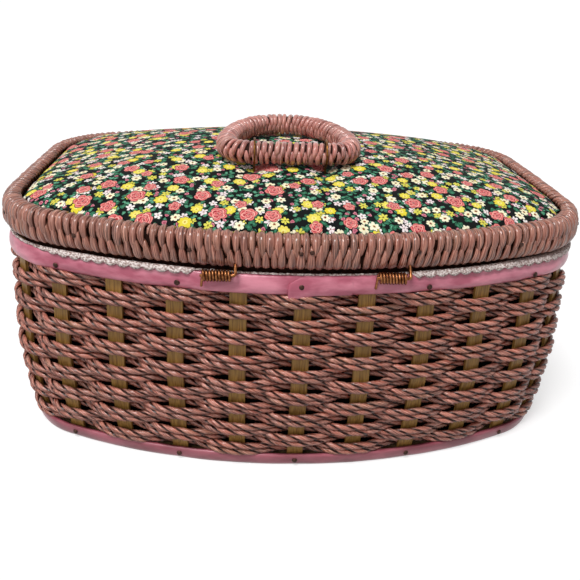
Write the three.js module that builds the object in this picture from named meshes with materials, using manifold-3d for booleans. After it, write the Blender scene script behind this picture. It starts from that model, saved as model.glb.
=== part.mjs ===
// Sewing basket: a woven oval body and a padded lid on two coil hinges.
// Millimetres, Z up. X runs along the basket, the hinges are at -Y and the clasp is at +Y.
// The origin is under the middle of the base board.
import * as THREE from "three";
import { mergeVertices } from "three/addons/utils/BufferGeometryUtils.js";
import Module from "manifold-3d";

const wasm = await Module();
wasm.setup();

// Outline of the lid, seen from above
const lidLength = 329;
const lidWidth = 258;
const sideRadius = 310;
const endRadius = 2500;
const cornerRadius = 57;
const sideSteps = 10;
const cornerSteps = 6;
const endSteps = 2;

// Gaps between neighbours
const gap = 0.3;
const weldStep = 0.0003;
const weaveGap = 1.6;

// Body
const staveCount = 30;
const staveWidth = 8.7;
const staveThickness = 1.6;
const rowCount = 14;
const rowGap = 0.67;
const weaveBottom = 7.3;
const cordThickness = 3;
const crossingMargin = 2.3;
const climbStaves = 3;
const startStave = 17;
const baseDrawIn = 5.6;
const wallBelly = 4.6;
const wallLevelShares = [0, 0.2, 0.5, 1];
const bandInset = 2.4;
const bandThickness = 2.4;
const bandHeight = 9.7;
const bandClearance = 0.5;
const baseThickness = 4;
const seatHeight = 119;
const hoopProud = 3;
const hoopThickness = 3.5;
const laceInset = 2.9;
const laceThickness = 1.3;
const liningClearance = 1.1;
const liningThickness = 2;

// Lid
const rimHeight = 17.9;
const rimDepth = 11;
const rimWall = 3;
const rimShoulder = 3;
const rimShoulderHeight = 4.7;
const ribCount = 60;
const ribDepth = 0.9;
const boardThickness = 2.4;
const padTuck = 2;
const padCrown = 20;
const crownShares = [1, 0.9, 0.75, 0.55, 0.32, 0.12];

// Hinges
const hingeOffset = 43;
const hingeBehindRim = 2;
const hingeBelowSeat = 2;
const coilTurns = 7;
const coilWire = 1.5;
const coilGap = 0.45;
const coilClearance = 0.7;
const coilTail = 7;
const coilSteps = 8;
const coilSides = 5;
const pinWire = 1.8;
const pinOverhang = 2.2;
const pinLegInset = 1.9;
const pinLegRise = 2.9;
const pinBend = 1.6;
const pinSteps = 16;

// Handle
const handleX = -5;
const handleBarY = -51;
const handleBarLength = 43;
const handleCornerRadius = 14;
const handleReach = 65.5;
const handleRise = 3.3;
const handleRadius = 6.4;
const handleSectionDegrees = [-55, 0, 60, 120, 180, 235];
const handleRibDepth = 0.7;
const handleRibCount = 36;
const handleCore = 5;
const handleCoreSteps = 36;
const tieInset = 1.5;
const tieWire = 1.2;
const tieClearance = 0.5;
const tieFlat = 0.1;
const tieSteps = 30;

// Clasp
const claspStandOff = 5.4;
const claspWire = 1.8;
const claspSideGap = 2.2;
const claspLength = 23.5;
const claspBend = 1.5;
const claspSteps = 40;
const claspEndGap = 2;
const stapleLength = 8;
const stapleHeight = 9;
const staplePlate = 1.2;
const stapleBarrel = 2.4;
const knobFlange = 4.5;
const knobFlangeThickness = 1;
const knobStem = 2;
const knobStemLength = 3.4;
const knobHead = 4;
const knobHeadLength = 3.6;

const wireSides = 6;
const halfLength = lidLength / 2;
const halfWidth = lidWidth / 2;
const staveTop = seatHeight - hoopProud;
const weaveTop = staveTop - bandHeight;
const rowPitch = (weaveTop - weaveBottom) / rowCount;
const cordHeight = rowPitch - rowGap;
const cornerCrossing = staveWidth + crossingMargin;
const staveInset = bandInset + bandThickness + bandClearance + staveThickness / 2;
const weaveSwing = staveThickness / 2 + weaveGap + cordThickness / 2;
const liningInset = staveInset + weaveSwing + cordThickness / 2 + liningClearance;
const rimBottom = seatHeight + gap;
const rimTop = rimBottom + rimHeight;
const boardBottom = rimBottom + rimWall + gap;
const boardTop = boardBottom + boardThickness;
const padInset = rimDepth + gap;
const padEdge = rimTop - padTuck;
const hingeY = -sideReach(hingeOffset) - hingeBehindRim;
const hingeZ = seatHeight - hingeBelowSeat;
const coilPitch = coilWire + coilGap;
const coilRadius = pinWire / 2 + coilClearance + coilWire / 2;
const coilLength = coilTurns * coilPitch;
const handleChannel = handleCore + 2 * gap;
const riseShare = handleRise / handleReach;
const tieOffset = handleBarLength / 2 - tieInset;
const tieRadius = handleRadius + tieClearance + tieWire / 2;
const tieBend = tieRadius - tieFlat;
const claspAxisY = halfWidth - bandInset + claspStandOff;
const claspAxisHeight = (weaveTop + staveTop) / 2;
const claspWidth = stapleLength + claspWire + claspSideGap;
const knobHeight = (rimBottom + rimTop) / 2;

const materials = {
  cord: material("#b98778", 0.55),
  vinyl: material("#e08a98", 0.35),
  stave: material("#9c7a3c", 0.6),
  board: material("#8a6b4a", 0.8),
  lace: material("#f1ece6", 0.8),
  satin: material("#e3a9ac", 0.4),
  print: material("#4f6b45", 0.85),
  brass: material("#a8793c", 0.35, 0.9),
};

function material(colour, roughness, metalness = 0) {
  return new THREE.MeshStandardMaterial({ color: colour, roughness, metalness });
}

// Half the lid's width at a place along the bowed side.
function sideReach(x) {
  return Math.sqrt(sideRadius ** 2 - x ** 2) - (sideRadius - halfWidth);
}

// The corner arc touches a side arc and an end arc from inside.
function cornerCentre() {
  const sideDrop = sideRadius - halfWidth;
  const endDrop = endRadius - halfLength;
  const fromSide = sideRadius - cornerRadius;
  const fromEnd = endRadius - cornerRadius;
  const apart = Math.hypot(endDrop, sideDrop);
  const along = (fromSide ** 2 - fromEnd ** 2 + apart ** 2) / (2 * apart);
  const across = Math.sqrt(fromSide ** 2 - along ** 2);
  const x = (-endDrop * along + sideDrop * across) / apart;
  const y = (sideDrop * along + endDrop * across) / apart - sideDrop;
  return { x, y };
}

// The outline starts at the middle of the hinge side and runs anticlockwise.
function outlineArcs() {
  const corner = cornerCentre();
  const sideDrop = sideRadius - halfWidth;
  const endDrop = endRadius - halfLength;
  const sideAngle = Math.atan2(corner.y + sideDrop, corner.x);
  const endAngle = Math.atan2(corner.y, corner.x + endDrop);
  const turn = Math.PI;
  const arc = (x, y, radius, from, to, steps) => ({ x, y, radius, from, to, steps });
  return [
    arc(0, sideDrop, sideRadius, -turn / 2, -sideAngle, sideSteps / 2),
    arc(corner.x, -corner.y, cornerRadius, -sideAngle, -endAngle, cornerSteps),
    arc(-endDrop, 0, endRadius, -endAngle, endAngle, endSteps),
    arc(corner.x, corner.y, cornerRadius, endAngle, sideAngle, cornerSteps),
    arc(0, -sideDrop, sideRadius, sideAngle, turn - sideAngle, sideSteps),
    arc(-corner.x, corner.y, cornerRadius, turn - sideAngle, turn - endAngle, cornerSteps),
    arc(endDrop, 0, endRadius, turn - endAngle, turn + endAngle, endSteps),
    arc(-corner.x, -corner.y, cornerRadius, turn + endAngle, turn + sideAngle, cornerSteps),
    arc(0, sideDrop, sideRadius, turn + sideAngle, turn * 3 / 2, sideSteps / 2),
  ];
}

const arcs = outlineArcs();
const arcLength = (arc) => arc.radius * (arc.to - arc.from);
const perimeter = arcs.reduce((sum, arc) => sum + arcLength(arc), 0);

// A share of the way round gives the place and the angle that faces outwards there.
function outlineAt(share, inset) {
  let distance = (share - Math.floor(share)) * perimeter;
  let index = 0;
  while (index < arcs.length - 1 && distance > arcLength(arcs[index])) {
    distance -= arcLength(arcs[index]);
    index += 1;
  }
  const arc = arcs[index];
  const angle = arc.from + distance / arc.radius;
  const reach = arc.radius - inset;
  return { x: arc.x + reach * Math.cos(angle), y: arc.y + reach * Math.sin(angle), angle };
}

function stepShares() {
  const shares = [];
  let start = 0;
  for (const arc of arcs) {
    for (let step = 0; step < arc.steps; step += 1) {
      shares.push((start + arcLength(arc) * step / arc.steps) / perimeter);
    }
    start += arcLength(arc);
  }
  return shares;
}

const ringShares = stepShares();
const handleBarHeight = handleHeight();

// The wall bellies out below the top band and draws in again to the base, in straight stretches.
function wallInset(height) {
  const heightShare = Math.min(1, Math.max(0, height / weaveTop));
  const upper = wallLevelShares.findIndex((share) => share > 0 && share >= heightShare);
  const above = wallLevelShares[upper];
  const below = wallLevelShares[upper - 1];
  const blendShare = (heightShare - below) / (above - below);
  return THREE.MathUtils.lerp(curvedInset(below), curvedInset(above), blendShare);
}

function curvedInset(heightShare) {
  const downShare = 1 - heightShare;
  return baseDrawIn * downShare - 4 * wallBelly * downShare * heightShare;
}

// Rings of points become one closed surface, turned so that its faces point outwards.
function loft(rings, closed) {
  const points = rings.flat();
  const count = rings[0].length;
  const faces = [];
  const last = closed ? rings.length : rings.length - 1;
  for (let ring = 0; ring < last; ring += 1) {
    const here = ring * count;
    const there = ((ring + 1) % rings.length) * count;
    for (let side = 0; side < count; side += 1) {
      const next = (side + 1) % count;
      faces.push([here + side, here + next, there + next], [here + side, there + next, there + side]);
    }
  }
  if (!closed) {
    addCap(points, faces, 0, count, true);
    addCap(points, faces, (rings.length - 1) * count, count, false);
  }
  return closedGeometry(points, faces);
}

function addCap(points, faces, first, count, reversed) {
  const middle = new THREE.Vector3();
  for (let side = 0; side < count; side += 1) {
    middle.addScaledVector(points[first + side], 1 / count);
  }
  const centre = points.push(middle) - 1;
  for (let side = 0; side < count; side += 1) {
    const next = first + (side + 1) % count;
    faces.push(reversed ? [centre, next, first + side] : [centre, first + side, next]);
  }
}

function closedGeometry(points, faces) {
  const volume = faces.reduce((sum, [a, b, c]) => sum + tripleProduct(points[a], points[b], points[c]), 0);
  const ordered = volume < 0 ? faces.map(([a, b, c]) => [a, c, b]) : faces;
  const geometry = new THREE.BufferGeometry();
  const places = new Float32Array(points.flatMap((point) => [point.x, point.y, point.z]));
  geometry.setAttribute("position", new THREE.BufferAttribute(places, 3));
  geometry.setIndex(ordered.flat());
  return geometry;
}

function tripleProduct(a, b, c) {
  return new THREE.Vector3().crossVectors(a, b).dot(c);
}

function toManifold(geometry) {
  const bare = geometry.clone();
  bare.deleteAttribute("normal");
  bare.deleteAttribute("uv");
  const merged = mergeVertices(bare, weldStep);
  const mesh = new wasm.Mesh({
    numProp: 3,
    vertProperties: Float32Array.from(merged.getAttribute("position").array),
    triVerts: Uint32Array.from(merged.index.array),
  });
  return new wasm.Manifold(mesh);
}

function subtract(geometry, cutters) {
  let solid = toManifold(geometry);
  for (const cutter of cutters) {
    solid = solid.subtract(toManifold(cutter));
  }
  const mesh = solid.getMesh();
  const result = new THREE.BufferGeometry();
  result.setAttribute("position", new THREE.BufferAttribute(Float32Array.from(mesh.vertProperties), 3));
  result.setIndex(Array.from(mesh.triVerts));
  return result;
}

// A ring that follows the outline: its section is a list of [inset, height].
function outlineRing(shares, sectionAt) {
  const rings = shares.map((share, index) => sectionAt(index).map(([inset, height]) => {
    const place = outlineAt(share, inset);
    return new THREE.Vector3(place.x, place.y, height);
  }));
  return loft(rings, true);
}

function plainRing(section) {
  return outlineRing(ringShares, () => section);
}

// A plate or dome: a stack of outlines, each [inset, scale share, height].
function outlineStack(levels) {
  const rings = levels.map(([inset, scaleShare, height]) => ringShares.map((share) => {
    const place = outlineAt(share, inset);
    return new THREE.Vector3(place.x * scaleShare, place.y * scaleShare, height);
  }));
  return loft(rings, false);
}

function plate(inset, bottom, top) {
  return outlineStack([[inset, 1, bottom], [inset, 1, top]]);
}

// A wire through corner points, each corner rounded by the bend.
function bentWire(corners, bend, wireRadius, steps) {
  const path = new THREE.CurvePath();
  let from = corners[0];
  for (let index = 1; index < corners.length - 1; index += 1) {
    const corner = corners[index];
    const before = corner.clone().sub(corners[index - 1]).setLength(bend);
    const after = corners[index + 1].clone().sub(corner).setLength(bend);
    const bendStart = corner.clone().sub(before);
    const bendEnd = corner.clone().add(after);
    path.add(new THREE.LineCurve3(from, bendStart));
    path.add(new THREE.QuadraticBezierCurve3(bendStart, corner, bendEnd));
    from = bendEnd;
  }
  path.add(new THREE.LineCurve3(from, corners[corners.length - 1]));
  return new THREE.ExtrudeGeometry(circleShape(wireRadius), {
    steps,
    extrudePath: path,
    bevelEnabled: false,
    curveSegments: wireSides / 2,
  });
}

function circleShape(radius) {
  return new THREE.Shape().absarc(0, 0, radius, 0, Math.PI * 2, false);
}

function baseBoard() {
  const inset = staveInset + staveThickness / 2 + gap + baseDrawIn;
  return plate(inset, 0, baseThickness);
}

function bottomBand() {
  const inset = (height) => bandInset + wallInset(height);
  const top = weaveBottom - gap;
  return plainRing([
    [inset(0), 0],
    [inset(top), top],
    [inset(top) + bandThickness, top],
    [inset(0) + bandThickness, 0],
  ]);
}

function topBand() {
  const inner = bandInset + bandThickness;
  const bottom = weaveTop;
  return plainRing([[bandInset, bottom], [bandInset, staveTop], [inner, staveTop], [inner, bottom]]);
}

// Heights of a wall piece: its ends, and each level between them where the wall bends.
function wallLevels(bottom, top) {
  const bends = wallLevelShares.map((share) => share * weaveTop);
  return [bottom, ...bends.filter((height) => height > bottom && height < top), top];
}

// A stave is a flat strip that stands on its place in the outline and follows the wall.
function stave(index) {
  const share = index / staveCount;
  const rings = wallLevels(gap, staveTop).map((height) => {
    const place = outlineAt(share, staveInset + wallInset(height));
    const across = new THREE.Vector3(-Math.sin(place.angle), Math.cos(place.angle), 0);
    const outward = new THREE.Vector3(Math.cos(place.angle), Math.sin(place.angle), 0);
    const centre = new THREE.Vector3(place.x, place.y, height);
    return rectangle(centre, across, staveWidth, outward, staveThickness);
  });
  return loft(rings, false);
}

function rectangle(centre, across, width, upward, height) {
  return [[-1, -1], [1, -1], [1, 1], [-1, 1]].map(([side, rise]) => centre.clone()
    .addScaledVector(across, side * width / 2)
    .addScaledVector(upward, rise * height / 2));
}

// A weaver is one long cord pair. It passes before every other stave, goes round half as many
// times as there are rows, and climbs two rows in the last few staves of each turn.
function weaver(firstRow) {
  const steps = rowCount / 2 * staveCount - climbStaves;
  const rings = [];
  for (let step = 0; step <= steps; step += 1) {
    const side = (step + startStave + firstRow) % 2 === 1 ? 1 : -1;
    for (const shift of crossingShifts(step)) {
      rings.push(weaverSection(step + shift, firstRow, side * weaveSwing));
    }
  }
  return loft(rings, false);
}

// A cord crosses a stave at one point, or in a flat stretch where the outline turns sharply.
function crossingShifts(step) {
  const before = outlineAt((step + startStave - 0.5) / staveCount, 0).angle;
  const after = outlineAt((step + startStave + 0.5) / staveCount, 0).angle;
  const turn = Math.PI * 2;
  const shift = cornerCrossing / 2 * staveCount / perimeter;
  return (after - before + turn) % turn > turn / staveCount ? [-shift, shift] : [0];
}

function weaverSection(step, firstRow, swing) {
  const turn = Math.floor(step / staveCount);
  const climbStart = (turn + 1) * staveCount - climbStaves;
  const climbShare = Math.max(0, step - climbStart) / climbStaves;
  const row = firstRow + 2 * (turn + climbShare);
  const height = weaveBottom + (row + 0.5) * rowPitch;
  const share = (step + startStave) / staveCount;
  return [[-1, -1], [1, -1], [1, 1], [-1, 1]].map(([side, rise]) => {
    const level = height + rise * cordHeight / 2;
    const inset = staveInset + wallInset(level) - swing - side * cordThickness / 2;
    const place = outlineAt(share, inset);
    return new THREE.Vector3(place.x, place.y, level);
  });
}

function topHoop() {
  const outer = staveInset + staveThickness / 2 + gap;
  const inner = outer + hoopThickness;
  const bottom = weaveTop + gap;
  return plainRing([[outer, bottom], [outer, seatHeight], [inner, seatHeight], [inner, bottom]]);
}

function laceTrim() {
  const inner = staveInset + staveThickness / 2;
  const bottom = staveTop + gap;
  const top = bottom + laceThickness;
  return plainRing([[laceInset, bottom], [laceInset, top], [inner, top], [inner, bottom]]);
}

function liningWall() {
  const bottom = baseThickness + gap;
  const levels = wallLevels(bottom, seatHeight);
  const outer = levels.map((height) => [liningInset + wallInset(height), height]);
  const inner = levels.map((height) => [liningInset + liningThickness + wallInset(height), height]);
  return plainRing([...outer, ...inner.reverse()]);
}

function liningFloor() {
  const bottom = baseThickness + gap;
  const inset = liningInset + liningThickness + gap + baseDrawIn;
  return plate(inset, bottom, bottom + liningThickness);
}

// The rim's section is a channel that opens inwards and holds the two hoops.
function lidRimWrap() {
  const ringCount = 2 * ribCount;
  const shares = [...Array(ringCount).keys()].map((index) => index / ringCount);
  const wrap = outlineRing(shares, (index) => rimSection(index % 2 === 0 ? 0 : ribDepth));
  const cutters = [-hingeOffset, hingeOffset].map((x) => hingePin(x, pinWire / 2 + gap));
  return subtract(wrap, cutters);
}

function rimSection(valley) {
  const lower = rimBottom + rimShoulderHeight;
  const upper = rimTop - rimShoulderHeight;
  return [
    [rimDepth, rimBottom],
    [rimShoulder, rimBottom],
    [valley, lower],
    [valley, upper],
    [rimShoulder, rimTop],
    [rimDepth, rimTop],
    [rimDepth, rimTop - rimWall],
    [rimWall, rimTop - rimWall],
    [rimWall, rimBottom + rimWall],
    [rimDepth, rimBottom + rimWall],
  ];
}

function lidHoop(upper) {
  const room = rimHeight - 2 * rimWall;
  const height = (room - 3 * gap) / 2;
  const bottom = rimBottom + rimWall + gap + (upper ? height + gap : 0);
  const outer = rimWall + gap;
  const inner = outer + height;
  return plainRing([[outer, bottom], [outer, bottom + height], [inner, bottom + height], [inner, bottom]]);
}

function lidBoard() {
  const hoop = (rimHeight - 2 * rimWall - 3 * gap) / 2;
  return plate(rimWall + hoop + 2 * gap, boardBottom, boardTop);
}

function lidLining() {
  return plate(padInset, rimBottom, rimBottom + rimWall);
}

// The pad's top at a share of the way from its middle to its edge.
function padHeight(share) {
  return padEdge + padCrown * (1 - share ** 2);
}

// The share that a place has on the pad: the outline is convex, so the nearest side sets it.
function padShareAt(x, y) {
  return Math.max(...ringShares.map((share) => {
    const edge = outlineAt(share, padInset);
    const towards = (place) => place.x * Math.cos(edge.angle) + place.y * Math.sin(edge.angle);
    return towards({ x, y }) / towards(edge);
  }));
}

function lidPad() {
  const bottom = boardTop + gap;
  const crown = crownShares.map((share) => [padInset, share, padHeight(share)]);
  const pad = outlineStack([[padInset, 1, bottom], ...crown]);
  const cutters = [-tieOffset, tieOffset].map((x) => handleTie(x, tieWire / 2 + gap, boardTop));
  return subtract(pad, cutters);
}

// The coil's tail runs down the band, and its turns leave room for the pin.
function coilPoints(x) {
  const start = x - coilLength / 2;
  const side = hingeY + coilRadius;
  const points = [new THREE.Vector3(start - coilWire / 2, side, hingeZ - coilTail)];
  for (let step = 0; step <= coilTurns * coilSteps; step += 1) {
    const turn = step / coilSteps;
    const angle = turn * Math.PI * 2;
    const y = hingeY + coilRadius * Math.cos(angle);
    const z = hingeZ + coilRadius * Math.sin(angle);
    points.push(new THREE.Vector3(start + turn * coilPitch, y, z));
  }
  points.push(new THREE.Vector3(start + coilLength + coilWire / 2, side, hingeZ + coilWire));
  return points;
}

function hingeCoil(x) {
  const points = coilPoints(x);
  const along = new THREE.Vector3(1, 0, 0);
  const rings = points.map((point, index) => {
    const before = points[Math.max(0, index - 1)];
    const after = points[Math.min(points.length - 1, index + 1)];
    const forward = after.clone().sub(before).normalize();
    const outward = new THREE.Vector3().crossVectors(forward, along).normalize();
    const across = new THREE.Vector3().crossVectors(outward, forward);
    return [...Array(coilSides).keys()].map((side) => {
      const angle = side * Math.PI * 2 / coilSides;
      return point.clone()
        .addScaledVector(across, Math.cos(angle) * coilWire / 2)
        .addScaledVector(outward, Math.sin(angle) * coilWire / 2);
    });
  });
  return loft(rings, false);
}

// Points half a turn or more apart along the coil are compared.
function leastCoilGap() {
  const points = coilPoints(0);
  let least = Infinity;
  points.forEach((point, index) => {
    for (let other = index + coilSteps / 2; other < points.length; other += 1) {
      least = Math.min(least, point.distanceTo(points[other]) - coilWire);
    }
  });
  return least;
}

// The pin lies in the coil and its leg goes up into the rim's lower edge.
function hingePin(x, wireRadius) {
  const start = x - coilLength / 2 - coilWire;
  const end = x + coilLength / 2 + pinOverhang;
  const legY = pinLegInset - sideReach(end);
  const legZ = rimBottom + pinLegRise;
  const corners = [
    new THREE.Vector3(start, hingeY, hingeZ),
    new THREE.Vector3(end, hingeY, hingeZ),
    new THREE.Vector3(end, legY, legZ),
  ];
  return bentWire(corners, pinBend, wireRadius, pinSteps);
}

// The handle's middle line: a straight bar, two round corners and half an ellipse.
function handlePath() {
  const path = new THREE.Path();
  const half = handleBarLength / 2;
  const shoulder = handleCornerRadius;
  const width = half + shoulder;
  path.moveTo(0, 0);
  path.lineTo(half, 0);
  path.absarc(half, shoulder, shoulder, -Math.PI / 2, 0, false);
  path.absellipse(0, shoulder, width, handleReach - shoulder, 0, Math.PI, false);
  path.absarc(-half, shoulder, shoulder, Math.PI, Math.PI * 3 / 2, false);
  path.lineTo(0, 0);
  return path;
}

// The handle lies on the pad, and the place where the two come nearest sets its height.
function handleHeight() {
  const path = handlePath();
  const heights = [...Array(handleCoreSteps).keys()].map((step) => {
    const place = path.getPointAt(step / handleCoreSteps);
    const share = padShareAt(handleX + place.x, handleBarY + place.y);
    return padHeight(share) - place.y * riseShare;
  });
  return Math.max(...heights) + handleRadius + gap;
}

function handleRing(steps, sectionAt) {
  const path = handlePath();
  const rings = [...Array(steps).keys()].map((step) => {
    const place = path.getPointAt(step / steps);
    const forward = path.getTangentAt(step / steps);
    return sectionAt(step).map(([outward, upward]) => new THREE.Vector3(
      handleX + place.x + forward.y * outward,
      handleBarY + place.y - forward.x * outward,
      handleBarHeight + place.y * riseShare + upward,
    ));
  });
  return loft(rings, true);
}

// The wrap's section is open below, where the cords meet, and holds the core.
function handleWrap() {
  const half = handleChannel / 2;
  const angles = handleSectionDegrees.map(THREE.MathUtils.degToRad);
  return handleRing(2 * handleRibCount, (step) => {
    const radius = handleRadius - (step % 2 === 0 ? 0 : handleRibDepth);
    const outside = angles.map((angle) => [radius * Math.cos(angle), radius * Math.sin(angle)]);
    const lip = outside[0][1];
    return [...outside, [-half, lip], [-half, half], [half, half], [half, lip]];
  });
}

function handleCoreRing() {
  const half = handleCore / 2;
  return handleRing(handleCoreSteps, () => [[-half, -half], [half, -half], [half, half], [-half, half]]);
}

// A tie is a wire arch over the handle's bar, with both legs through the pad to the board.
function handleTie(x, wireRadius, bottom) {
  const top = handleBarHeight + tieRadius;
  const place = (y, z) => new THREE.Vector3(handleX + x, handleBarY + y, z);
  const corners = [
    place(-tieRadius, bottom),
    place(-tieRadius, top),
    place(tieRadius, top),
    place(tieRadius, bottom),
  ];
  return bentWire(corners, tieBend, wireRadius, tieSteps);
}

// The loop's two ends turn in towards each other and pivot in the staple.
function claspLoop() {
  const half = claspWidth / 2;
  const bottom = claspAxisHeight - claspLength;
  const place = (x, z) => new THREE.Vector3(x, claspAxisY, z);
  const corners = [
    place(-claspEndGap / 2, claspAxisHeight),
    place(-half, claspAxisHeight),
    place(-half, bottom),
    place(half, bottom),
    place(half, claspAxisHeight),
    place(claspEndGap / 2, claspAxisHeight),
  ];
  return bentWire(corners, claspBend, claspWire / 2, claspSteps);
}

// The staple is a plate on the band with a barrel, drawn in Y and Z and extruded along X.
function claspStaple() {
  const back = halfWidth - bandInset + gap;
  const front = back + staplePlate;
  const low = claspAxisHeight - stapleHeight / 2;
  const high = claspAxisHeight + stapleHeight / 2;
  const shape = new THREE.Shape();
  shape.moveTo(back, low);
  shape.lineTo(front, low);
  shape.lineTo(front, claspAxisHeight - stapleBarrel);
  shape.absarc(claspAxisY, claspAxisHeight, stapleBarrel, -Math.PI / 2, Math.PI / 2, false);
  shape.lineTo(front, claspAxisHeight + stapleBarrel);
  shape.lineTo(front, high);
  shape.lineTo(back, high);
  shape.closePath();
  const bore = new THREE.Path();
  bore.absarc(claspAxisY, claspAxisHeight, claspWire / 2 + gap, 0, Math.PI * 2, true);
  shape.holes.push(bore);
  const geometry = new THREE.ExtrudeGeometry(shape, {
    depth: stapleLength,
    bevelEnabled: false,
    curveSegments: wireSides,
  });
  const turn = new THREE.Matrix4().makeBasis(
    new THREE.Vector3(0, 1, 0),
    new THREE.Vector3(0, 0, 1),
    new THREE.Vector3(1, 0, 0),
  );
  geometry.applyMatrix4(turn);
  geometry.translate(-stapleLength / 2, 0, 0);
  return geometry;
}

function claspKnob() {
  const profile = [
    [0, 0],
    [knobFlange, 0],
    [knobFlange, knobFlangeThickness],
    [knobStem, knobFlangeThickness],
    [knobStem, knobStemLength],
    [knobHead, knobStemLength + knobHeadLength / 4],
    [knobHead, knobStemLength + knobHeadLength * 3 / 4],
    [knobStem, knobStemLength + knobHeadLength],
    [0, knobStemLength + knobHeadLength],
  ].map(([radius, along]) => new THREE.Vector2(radius, along));
  const geometry = new THREE.LatheGeometry(profile, wireSides * 2);
  geometry.translate(0, halfWidth + gap, 0);
  geometry.translate(0, 0, knobHeight);
  return geometry;
}

const group = new THREE.Group();

function add(name, geometry, slot) {
  const mesh = new THREE.Mesh(geometry, materials[slot]);
  mesh.name = name;
  group.add(mesh);
}

add("base_board", baseBoard(), "board");
add("bottom_band", bottomBand(), "vinyl");
for (let index = 0; index < staveCount; index += 1) {
  add(`stave_${String(index + 1).padStart(2, "0")}`, stave(index), "stave");
}
add("weaver_a", weaver(0), "cord");
add("weaver_b", weaver(1), "cord");
add("top_hoop", topHoop(), "stave");
add("top_band", topBand(), "vinyl");
add("lace_trim", laceTrim(), "lace");
add("lining_wall", liningWall(), "satin");
add("lining_floor", liningFloor(), "satin");
add("lid_rim_wrap", lidRimWrap(), "cord");
add("lid_hoop_lower", lidHoop(false), "stave");
add("lid_hoop_upper", lidHoop(true), "stave");
add("lid_board", lidBoard(), "board");
add("lid_pad", lidPad(), "print");
add("lid_lining", lidLining(), "satin");
for (const [side, x] of [["left", -hingeOffset], ["right", hingeOffset]]) {
  add(`hinge_coil_${side}`, hingeCoil(x), "brass");
  add(`hinge_pin_${side}`, hingePin(x, pinWire / 2), "brass");
}
add("handle_core", handleCoreRing(), "stave");
add("handle_wrap", handleWrap(), "cord");
for (const [side, x] of [["left", -tieOffset], ["right", tieOffset]]) {
  add(`handle_tie_${side}`, handleTie(x, tieWire / 2, boardTop + gap), "brass");
}
add("clasp_staple", claspStaple(), "brass");
add("clasp_loop", claspLoop(), "brass");
add("clasp_knob", claspKnob(), "brass");

console.log("least gap of a hinge coil to itself", leastCoilGap().toFixed(2), "mm");

export default group;
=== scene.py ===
# %% [markdown]
# # A woven sewing basket
# The basket is an oval body of twisted cord woven round flat cane staves, with a padded lid whose
# rim and handle are wound with the same cord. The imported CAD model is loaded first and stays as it
# is. Each soft or wound solid is then replaced by a finer piece in the same place.

# %% Load the frame
import bpy
import math
import numpy as np
from mathutils import Matrix, Vector


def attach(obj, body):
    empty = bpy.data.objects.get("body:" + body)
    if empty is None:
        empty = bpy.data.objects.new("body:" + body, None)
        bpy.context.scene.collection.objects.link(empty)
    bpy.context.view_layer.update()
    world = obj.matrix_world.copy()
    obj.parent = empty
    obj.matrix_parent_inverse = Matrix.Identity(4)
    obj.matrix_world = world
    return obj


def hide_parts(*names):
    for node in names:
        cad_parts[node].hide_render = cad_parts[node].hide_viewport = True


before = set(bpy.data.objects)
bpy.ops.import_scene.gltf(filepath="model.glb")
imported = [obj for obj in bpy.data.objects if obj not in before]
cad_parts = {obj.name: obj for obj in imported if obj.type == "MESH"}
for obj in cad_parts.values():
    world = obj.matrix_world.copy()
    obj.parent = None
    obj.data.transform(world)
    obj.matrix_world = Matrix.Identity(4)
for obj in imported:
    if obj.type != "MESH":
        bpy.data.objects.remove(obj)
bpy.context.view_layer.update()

# %% [markdown]
# ## Sizes
# The real basket's sizes are in millimetres, and Blender works in metres. Everything is worked out
# in millimetres and turned to metres in the one place where a mesh gets its points.

# %% Sizes of the basket, in millimetres
MM = 0.001
LID_LENGTH, LID_WIDTH = 329.0, 258.0
SIDE_RADIUS, END_RADIUS, CORNER_RADIUS = 310.0, 2500.0, 57.0
GAP = 0.3
STAVES, ROWS = 30, 14
WEAVE_TOP, WEAVE_BOTTOM = 106.3, 7.3
STAVE_INSET, LINING_INSET, BAND_INSET = 6.1, 12.6, 2.4
BASE_DRAW_IN, WALL_BELLY = 5.6, 4.6
RIM_BOTTOM = 119.3
PAD_BOTTOM, PAD_EDGE, PAD_CROWN, PAD_INSET = 125.3, 135.2, 20.0, 11.3
# All unevenness is drawn from one seeded source, so the basket is the same on each run.
rng = np.random.default_rng(7)

# %% [markdown]
# ## The outline
# Seen from above, the lid has two bowed sides, two nearly straight ends and four round corners.
# Arcs that touch each other draw it exactly. A share of the way round, from 0 to 1, gives a place
# on it, so that every ring of the basket follows the same line at its own inset.


# %% The outline as arcs
def outline_arcs():
    side_drop = SIDE_RADIUS - LID_WIDTH / 2
    end_drop = END_RADIUS - LID_LENGTH / 2
    from_side, from_end = SIDE_RADIUS - CORNER_RADIUS, END_RADIUS - CORNER_RADIUS
    apart = math.hypot(end_drop, side_drop)
    along = (from_side**2 - from_end**2 + apart**2) / (2 * apart)
    across = math.sqrt(from_side**2 - along**2)
    x = (-end_drop * along + side_drop * across) / apart
    y = (side_drop * along + end_drop * across) / apart - side_drop
    side = math.atan2(y + side_drop, x)
    end = math.atan2(y, x + end_drop)
    pi = math.pi
    return np.array([
        (0, side_drop, SIDE_RADIUS, -pi / 2, -side),
        (x, -y, CORNER_RADIUS, -side, -end),
        (-end_drop, 0, END_RADIUS, -end, end),
        (x, y, CORNER_RADIUS, end, side),
        (0, -side_drop, SIDE_RADIUS, side, pi - side),
        (-x, y, CORNER_RADIUS, pi - side, pi - end),
        (end_drop, 0, END_RADIUS, pi - end, pi + end),
        (-x, -y, CORNER_RADIUS, pi + end, pi + side),
        (0, side_drop, SIDE_RADIUS, pi + side, pi * 3 / 2),
    ])


ARCS = outline_arcs()
ARC_LENGTHS = ARCS[:, 2] * (ARCS[:, 4] - ARCS[:, 3])
ARC_STARTS = np.concatenate([[0], np.cumsum(ARC_LENGTHS)[:-1]])
PERIMETER = ARC_LENGTHS.sum()
print("once round the lid:", round(PERIMETER, 1), "mm")


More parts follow.
